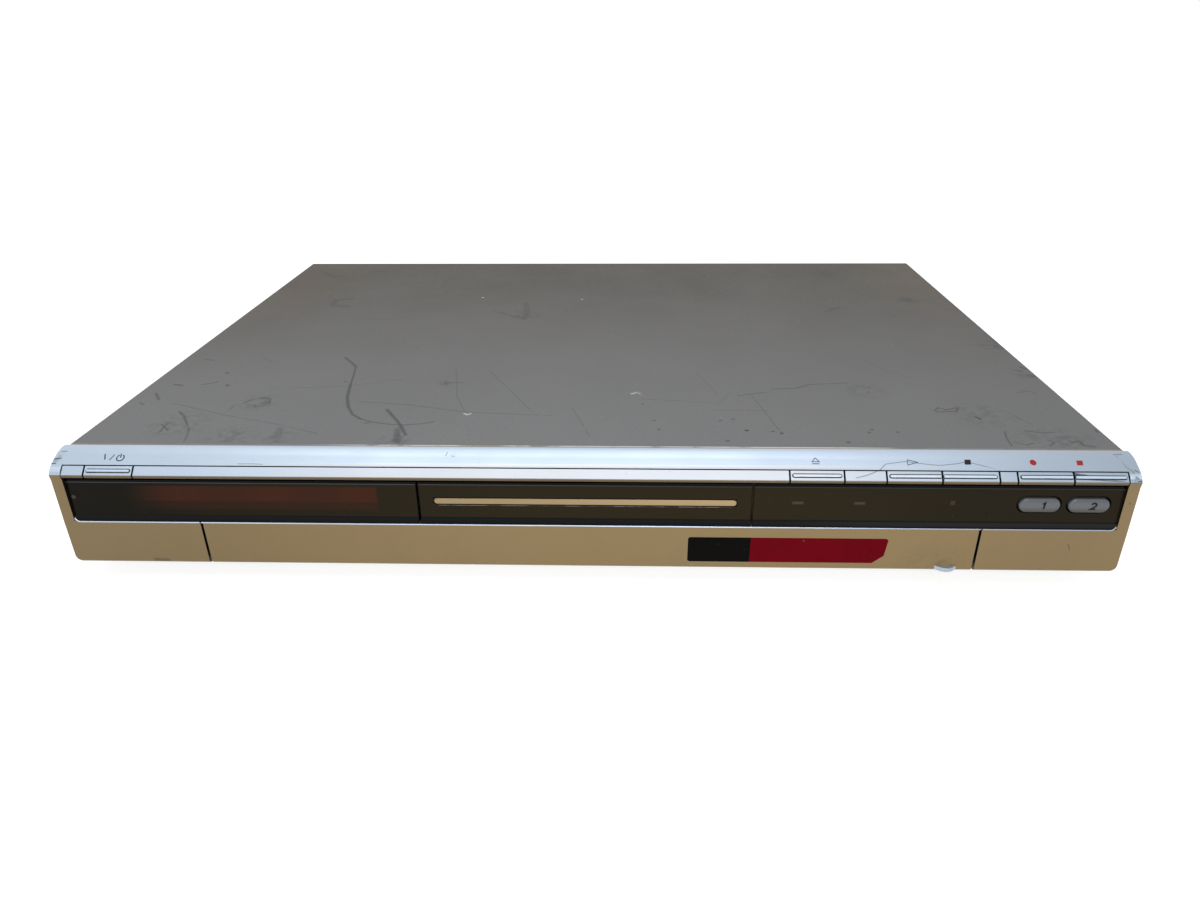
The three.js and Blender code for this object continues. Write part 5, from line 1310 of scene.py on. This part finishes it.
class RECORDER_OT_windows(RecorderOperator, bpy.types.Operator):
    """Smoked windows, and the tray's front with its bar and the painted highlight of the edge below it"""
    bl_idname = "recorder.windows"
    bl_label = "Windows and tray front"

    def build(self, settings):
        for node, ends in (("display_window", (-0.2, 0.35)), ("tray_front", (0.1, 0.1)),
                           ("indicator_window", (0.3, -0.2))):
            # Side faces get painted shade in the seams between the windows and the tray's front.
            dressed(node, finish_of("window_glass"), "window_glass", 0.28, 3,
                    bare=lambda normal, x, y, z: abs(normal.x) > 0.2, ends=ends)
        middle, size, depth = front_of("tray_stripe")
        width, height = size[0] + 0.44, size[1] + 0.44
        bm = profile_run(stadium(width, height, middle, 12), *depth, "y")
        rounded(bm, 0.25, 3, 60.0)
        piece("tray_bar", bm, finish_of("stripe_gold"), "stripe_gold", body_of_node("tray_stripe"),
              "tray_stripe")
        edge = middle[1] - height / 2 - 0.32
        bead("tray_bar_edge", bead_tree(), [(middle[0] - width / 2 + 2.0, WINDOW_SETBACK, edge),
                                            (middle[0] + width / 2 - 2.0, WINDOW_SETBACK, edge)],
             0.12, 0.2, finish_of("groove_edge"), "window_glass", body_of_node("tray_stripe"))


class RECORDER_OT_drive_keys(RecorderOperator, bpy.types.Operator):
    """Pill-shaped keys that choose the hard disk or the disc"""
    bl_idname = "recorder.drive_keys"
    bl_label = "Drive keys"

    def build(self, settings):
        numerals = {"hard_disk_key": [(-0.7, 0.75), (0.25, 1.35), (-0.05, -1.35)],
                    "disc_key": [(-0.75, 0.65)] + arc((0.1, 0.55), 0.85, 170, -35, 10) + [
                        (-1.0, -1.25), (0.85, -1.25)]}
        for node, strokes in numerals.items():
            middle, size, depth = front_of(node)
            middle = (middle[0] + 0.15, middle[1] - 0.25)
            bm = profile_run(stadium(size[0] - 0.7, size[1] - 0.6, middle, 24), *depth, "y")
            limit = depth[0] * MM + KNIFE_Y + 1e-6
            rounded(bm, 0.9, 5, 60.0, lambda e: all(v.co.y < limit for v in e.verts), clamp=False)
            pill = piece(node + "_pill", bm, finish_of("key_grey"), "key_grey", body_of_node(node), node)
            laid(node + "_numeral", Skin(pill, (0, 1, 0)), stroke(
                [(middle[0] + 1.6 + x, middle[1] + z) for x, z in strokes], 0.74),
                lambda u, v: spot(u, 0.0, v), finish_of("key_print"), "black_plastic", body_of_node(node))


class RECORDER_OT_flap(RecorderOperator, bpy.types.Operator):
    """Drop-down flap with its label, whose lower right corner is cut off"""
    bl_idname = "recorder.flap"
    bl_label = "Front flap"
    LABEL = (41.5, 121.9, 11.9, 23.7)

    def build(self, settings):
        # The flap's ends get painted shade in the seams beside it; its back faces are bare.
        flap = dressed("front_flap", finish_of("taupe_paint"), "taupe_paint", settings.edge_width, 2,
                       bare=lambda normal, x, y, z: ((abs(normal.x) > 0.2 and abs(x) > 157.0)
                                                     or normal.y > 0.6),
                       ends=(0.55, 0.55), span=(-FLAP_HALF, FLAP_HALF))
        left, right, low, high = self.LABEL
        outline = (arc((left + 1.0, low + 1.0), 1.0, 180, 270, 4)
                   + [(right - 5.4, low), (right - 0.9, low + 3.6)]
                   + arc((right - 1.2, high - 1.2), 1.2, 0, 90, 5)
                   + arc((left + 1.0, high - 1.0), 1.0, 90, 180, 4))
        laid("flap_label", Skin(flap, (0, 1, 0)), [outline], lambda u, v: spot(u, 0.0, v), finish_of("label"),
             "jack_red", "flap", 0.01, 0.12, 1.2)


class RECORDER_OT_marks(RecorderOperator, bpy.types.Operator):
    """Printed symbols over the keys"""
    bl_idname = "recorder.marks"
    bl_label = "Printed symbols"

    def build(self, settings):
        band = Skin(bpy.data.objects["front_moulding"], (0, 0, -1))
        power = [stroke([(-194.9, 8.2), (-193.9, 5.6)], 0.42), stroke([(-192.0, 5.4), (-190.8, 8.0)], 0.3),
                 stroke(arc((-187.9, 6.5), 1.45, 120, 420, 20), 0.4),
                 stroke([(-188.3, 8.5), (-187.8, 6.6)], 0.4)]
        eject = [stroke([(89.4, 6.7), (90.9, 8.5), (92.3, 6.7)], 0.24, True),
                 stroke([(89.3, 5.8), (92.2, 5.8)], 0.28)]
        play = [stroke([(126.7, 7.9), (126.5, 5.5), (130.6, 6.8)], 0.22, True)]
        for name, shapes in (("power_symbol", power), ("eject_symbol", eject), ("play_symbol", play)):
            self.printed(name, band, [quad for shape in shapes for quad in shape], "dark_print_and_shadow",
                         "black_plastic")
        self.printed("stop_symbol", band, [[(148.6, 5.9), (151.0, 5.9), (151.4, 8.1), (149.0, 8.1)]],
                     "dark_print_and_shadow", "black_plastic")
        self.printed("record_symbol", band, [arc((175.2, 7.0), 1.25, 0, 345, 23)], "red_print", "jack_red")
        self.printed("record_stop_symbol", band, [[(191.8, 5.9), (194.1, 5.9), (194.5, 8.0), (192.2, 8.0)]],
                     "red_print", "jack_red")

    def printed(self, name, band, shapes, finish, slot):
        laid(name, band, shapes, lambda u, v: spot(u, v, 40.0), finish_of(finish), slot, "case", 0.05, 0.09)


class RECORDER_OT_feet(RecorderOperator, bpy.types.Operator):
    """Round feet with a rubber ring under each"""
    bl_idname = "recorder.feet"
    bl_label = "Feet"

    def build(self, settings):
        profile = [(0, 0.6), (9.0, 0.6), (9.6, 0.0), (14.4, 0.0), (15.0, 0.5), (15.2, 1.2), (15.9, 1.5),
                   (17.9, 2.3), (18.8, 3.2), (19.0, 4.2), (19.0, 5.6), (18.6, 5.8), (18.6, 6.3), (19.0, 6.5),
                   (19.0, 8.5), (0, 8.5)]
        for node in ("front_left_foot", "front_right_foot", "rear_left_foot", "rear_right_foot"):
            low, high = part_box(node)
            centre = ((low.x + high.x) / 2 / MM, ((low.y + high.y) / 2 - KNIFE_Y) / MM)
            bm = lathe(profile, centre)
            piece(node + "_turned", bm, finish_of("rubber"), "rubber", "case", node)


class RECORDER_OT_rear(RecorderOperator, bpy.types.Operator):
    """Rear plate and its sockets"""
    bl_idname = "recorder.rear"
    bl_label = "Rear"
    BLOCK, BLOCK_DEPTH = (34.0, 7.5, 5.6), 4.9
    SLOT, SLOT_PITCH, ROW_RISE = (1.1, 5.0, 1.9), 3.2, 1.4

    def build(self, settings):
        for node, slot, width in (("rear_panel", "zinc_steel", 0.1), ("twin_av_socket", "black_plastic", 0.4),
                                  ("mains_inlet", "black_plastic", 0.4), ("tuner_module", "zinc_steel", 0.25),
                                  ("fan_frame", "black_plastic", 0.3), ("base_pan", "zinc_steel", 0.15)):
            dressed(node, finish_of(slot), slot, width)
        dressed("rear_jack_block", finish_of("jack_sleeves"), "grey_plastic", 0.15)
        self.contacts()

    def contacts(self):
        """The slotted block inside each half of the twin socket."""
        low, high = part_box("twin_av_socket")
        middle, tree = (low + high) / 2, contact_tree()
        size = Vector(self.BLOCK) * MM
        for hand, name in ((-1, "inner"), (1, "outer")):
            centre = Vector((middle.x + hand * (high.x - low.x) / 4, high.y - self.BLOCK_DEPTH * MM,
                             middle.z))
            face = self.BLOCK[1] / 2
            places = [centre + Vector(((k - 4.5) * self.SLOT_PITCH, face, row * self.ROW_RISE)) * MM
                      for k in range(10) for row in (-1, 1)]
            obj = by_tree(name + "_contact_block", tree, places, {
                "Block size": size, "Block centre": centre, "Slot size": Vector(self.SLOT) * MM,
                "Finish": finish_of("contact_block")})
            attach(obj, "case")


class RECORDER_OT_screws(RecorderOperator, bpy.types.Operator):
    """Cross-head screws of the cover and the rear plate"""
    bl_idname = "recorder.screws"
    bl_label = "Case screws"

    def build(self, settings):
        tree = screw_tree()
        quarter = math.pi / 2
        for hand, name in ((-1, "left"), (1, "right")):
            points = [spot(hand * PAN_SIDE, depth, SCREW_RISE) for depth in SCREW_DEPTHS]
            screws(name + "_side_screws", tree, settings, points, (0.0, hand * quarter, 0.0), "case")
        rear = (REAR_Y - KNIFE_Y) / MM
        points = [spot(x, rear, rise) for rise, row in REAR_SCREWS for x in row]
        screws("rear_screws", tree, settings, points, (-quarter, 0.0, 0.0), "case")


INNER_NODES = {
    "input_panel": 0.2, "video_in_jack": 0.2, "audio_left_in_jack": 0.2, "audio_right_in_jack": 0.2,
    "round_video_in_socket": 0.2, "disc_tray": 0.3, "turntable": 0.2, "disc_clamp": 0.2, "loader_cover": 0.1,
    "optical_pickup": 0.2, "hard_disk_body": 0.5, "transformer": 0.3, "main_capacitor": 0.3,
    "loader_frame": 0.15, "spindle_motor": 0.2, "loading_motor": 0.2, "power_heat_sink": 0.15,
    "chip_heat_sink": 0.15, "hard_disk_bracket": 0.1, "display_tube": 0.3, "traverse_plate": 0.1,
}


class RECORDER_OT_inside(RecorderOperator, bpy.types.Operator):
    """Disc drive, hard disk, boards and power supply inside the case"""
    bl_idname = "recorder.inside"
    bl_label = "Inner pieces"

    def build(self, settings):
        slots = {row["node"]: row["material_slot"] for row in frame["record"]["subparts"]}
        for node, width in INNER_NODES.items():
            slot = slots[node]
            dressed(node, finish_of(slot), slot, width)
        for node, obj in frame["nodes"].items():
            if not obj.hide_render:
                for place in obj.material_slots:
                    place.material = finish_of(slots[node])


class RECORDER_OT_stage(bpy.types.Operator):
    """Pale floor, even surround, soft lights and the camera"""
    bl_idname = "recorder.stage"
    bl_label = "Studio"

    def execute(self, context):
        studio = context.scene.recorder_studio
        self.floor(studio)
        self.sky(context.scene, studio)
        self.lamp("top_light", (-0.08, 0.36, 1.05), (0.0, -0.08, 0.05), (0.9, 0.8), studio.top_power)
        self.lamp("strip_light", (-0.12, -0.56, 0.95), (-0.03, -0.16, 0.05), (1.0, 0.35), studio.strip_power)
        self.lamp("front_light", (0.13, -0.8, 0.38), (0.04, -0.16, 0.03), (0.35, 0.3), studio.fill_power)
        self.camera(context.scene, studio)
        context.scene.view_settings.view_transform = "Standard"
        return {"FINISHED"}

    def floor(self, studio):
        half = studio.floor_size / 2
        mesh = bpy.data.meshes.new("floor")
        mesh.from_pydata([(-half, -half, 0), (half, -half, 0), (half, half, 0), (-half, half, 0)], [],
                         [(0, 1, 2, 3)])
        material = bpy.data.materials.new("pale_floor")
        material.use_nodes = True
        tree = material.node_tree
        tree.nodes.clear()
        out, matt, glow, nothing, shown, both = [tree.nodes.new("ShaderNode" + kind) for kind in (
            "OutputMaterial", "BsdfDiffuse", "Emission", "Emission", "MixShader", "AddShader")]
        matt.inputs["Color"].default_value = (0.5, 0.5, 0.5, 1.0)
        glow.inputs["Strength"].default_value = studio.floor_glow
        nothing.inputs["Strength"].default_value = 0.0
        for source, target in ((self.seen(tree), shown.inputs["Fac"]), (nothing.outputs[0], shown.inputs[1]),
                               (glow.outputs[0], shown.inputs[2]), (matt.outputs[0], both.inputs[0]),
                               (shown.outputs[0], both.inputs[1]), (both.outputs[0], out.inputs["Surface"])):
            tree.links.new(source, target)
        mesh.materials.append(material)
        link("floor", mesh)

    def sky(self, scene, studio):
        scene.world = bpy.data.worlds.new("studio_surround")
        scene.world.use_nodes = True
        tree = scene.world.node_tree
        background = tree.nodes["Background"]
        background.inputs["Color"].default_value = (1.0, 1.0, 1.0, 1.0)
        strength = tree.nodes.new("ShaderNodeMapRange")
        strength.inputs["To Min"].default_value = studio.sky_strength
        strength.inputs["To Max"].default_value = 1.0
        tree.links.new(self.seen(tree), strength.inputs["Value"])
        tree.links.new(strength.outputs[0], background.inputs["Strength"])

    def seen(self, tree):
        """1 for what the camera, a reflection or a see-through surface looks at, else 0."""
        rays = tree.nodes.new("ShaderNodeLightPath").outputs
        share = rays["Is Camera Ray"]
        for name in ("Is Glossy Ray", "Is Transmission Ray"):
            most = tree.nodes.new("ShaderNodeMath")
            most.operation = "MAXIMUM"
            tree.links.new(share, most.inputs[0])
            tree.links.new(rays[name], most.inputs[1])
            share = most.outputs[0]
        return share

    def lamp(self, name, place, target, size, power):
        data = bpy.data.lights.new(name, "AREA")
        data.shape, data.size, data.size_y, data.energy = "RECTANGLE", size[0], size[1], power
        lamp = bpy.data.objects.new(name, data)
        bpy.context.scene.collection.objects.link(lamp)
        aim = (Vector(target) - Vector(place)).to_track_quat("-Z", "Y")
        lamp.matrix_world = Matrix.Translation(place) @ aim.to_matrix().to_4x4()

    def camera(self, scene, studio):
        data = bpy.data.cameras.new("camera")
        data.lens, data.sensor_width = studio.lens, 36.0
        data.clip_start, data.clip_end = 0.01, 50.0
        camera = bpy.data.objects.new("camera", data)
        scene.collection.objects.link(camera)
        yaw, pitch, roll = studio.camera_turn
        ahead = Vector((math.sin(yaw) * math.cos(pitch), math.cos(yaw) * math.cos(pitch), -math.sin(pitch)))
        right = Vector((math.cos(yaw), -math.sin(yaw), 0.0))
        up = right.cross(ahead)
        tilted_right = right * math.cos(roll) + up * math.sin(roll)
        tilted_up = up * math.cos(roll) - right * math.sin(roll)
        turn = Matrix((tilted_right, tilted_up, -ahead)).transposed()
        camera.matrix_world = Matrix.Translation(studio.camera_place) @ turn.to_4x4()
        scene.camera = camera


class RECORDER_PT_panel(bpy.types.Panel):
    """Lists the recorder's settings and its builders"""
    bl_idname = "RECORDER_PT_panel"
    bl_label = "Recorder"
    bl_space_type = "VIEW_3D"
    bl_region_type = "UI"
    bl_category = "Recorder"

    def draw(self, context):
        for group in (context.scene.recorder, context.scene.recorder_studio):
            box = self.layout.box()
            for name in group.__annotations__:
                box.prop(group, name)
        for builder in BUILDERS:
            self.layout.operator(builder.bl_idname)


BUILDERS = (
    RECORDER_OT_cover, RECORDER_OT_front, RECORDER_OT_keys, RECORDER_OT_windows, RECORDER_OT_drive_keys,
    RECORDER_OT_flap, RECORDER_OT_marks, RECORDER_OT_feet, RECORDER_OT_rear, RECORDER_OT_screws,
    RECORDER_OT_inside, RECORDER_OT_stage,
)
CLASSES = (RecorderSettings, StudioSettings) + BUILDERS + (RECORDER_PT_panel,)


def register():
    for entry in CLASSES:
        bpy.utils.register_class(entry)
    bpy.types.Scene.recorder = PointerProperty(type=RecorderSettings)
    bpy.types.Scene.recorder_studio = PointerProperty(type=StudioSettings)


def unregister():
    del bpy.types.Scene.recorder_studio
    del bpy.types.Scene.recorder
    for entry in reversed(CLASSES):
        bpy.utils.unregister_class(entry)


def main():
    register()
    for builder in BUILDERS:
        group, name = builder.bl_idname.split(".")
        getattr(getattr(bpy.ops, group), name)()


if __name__ == "__main__":
    main()
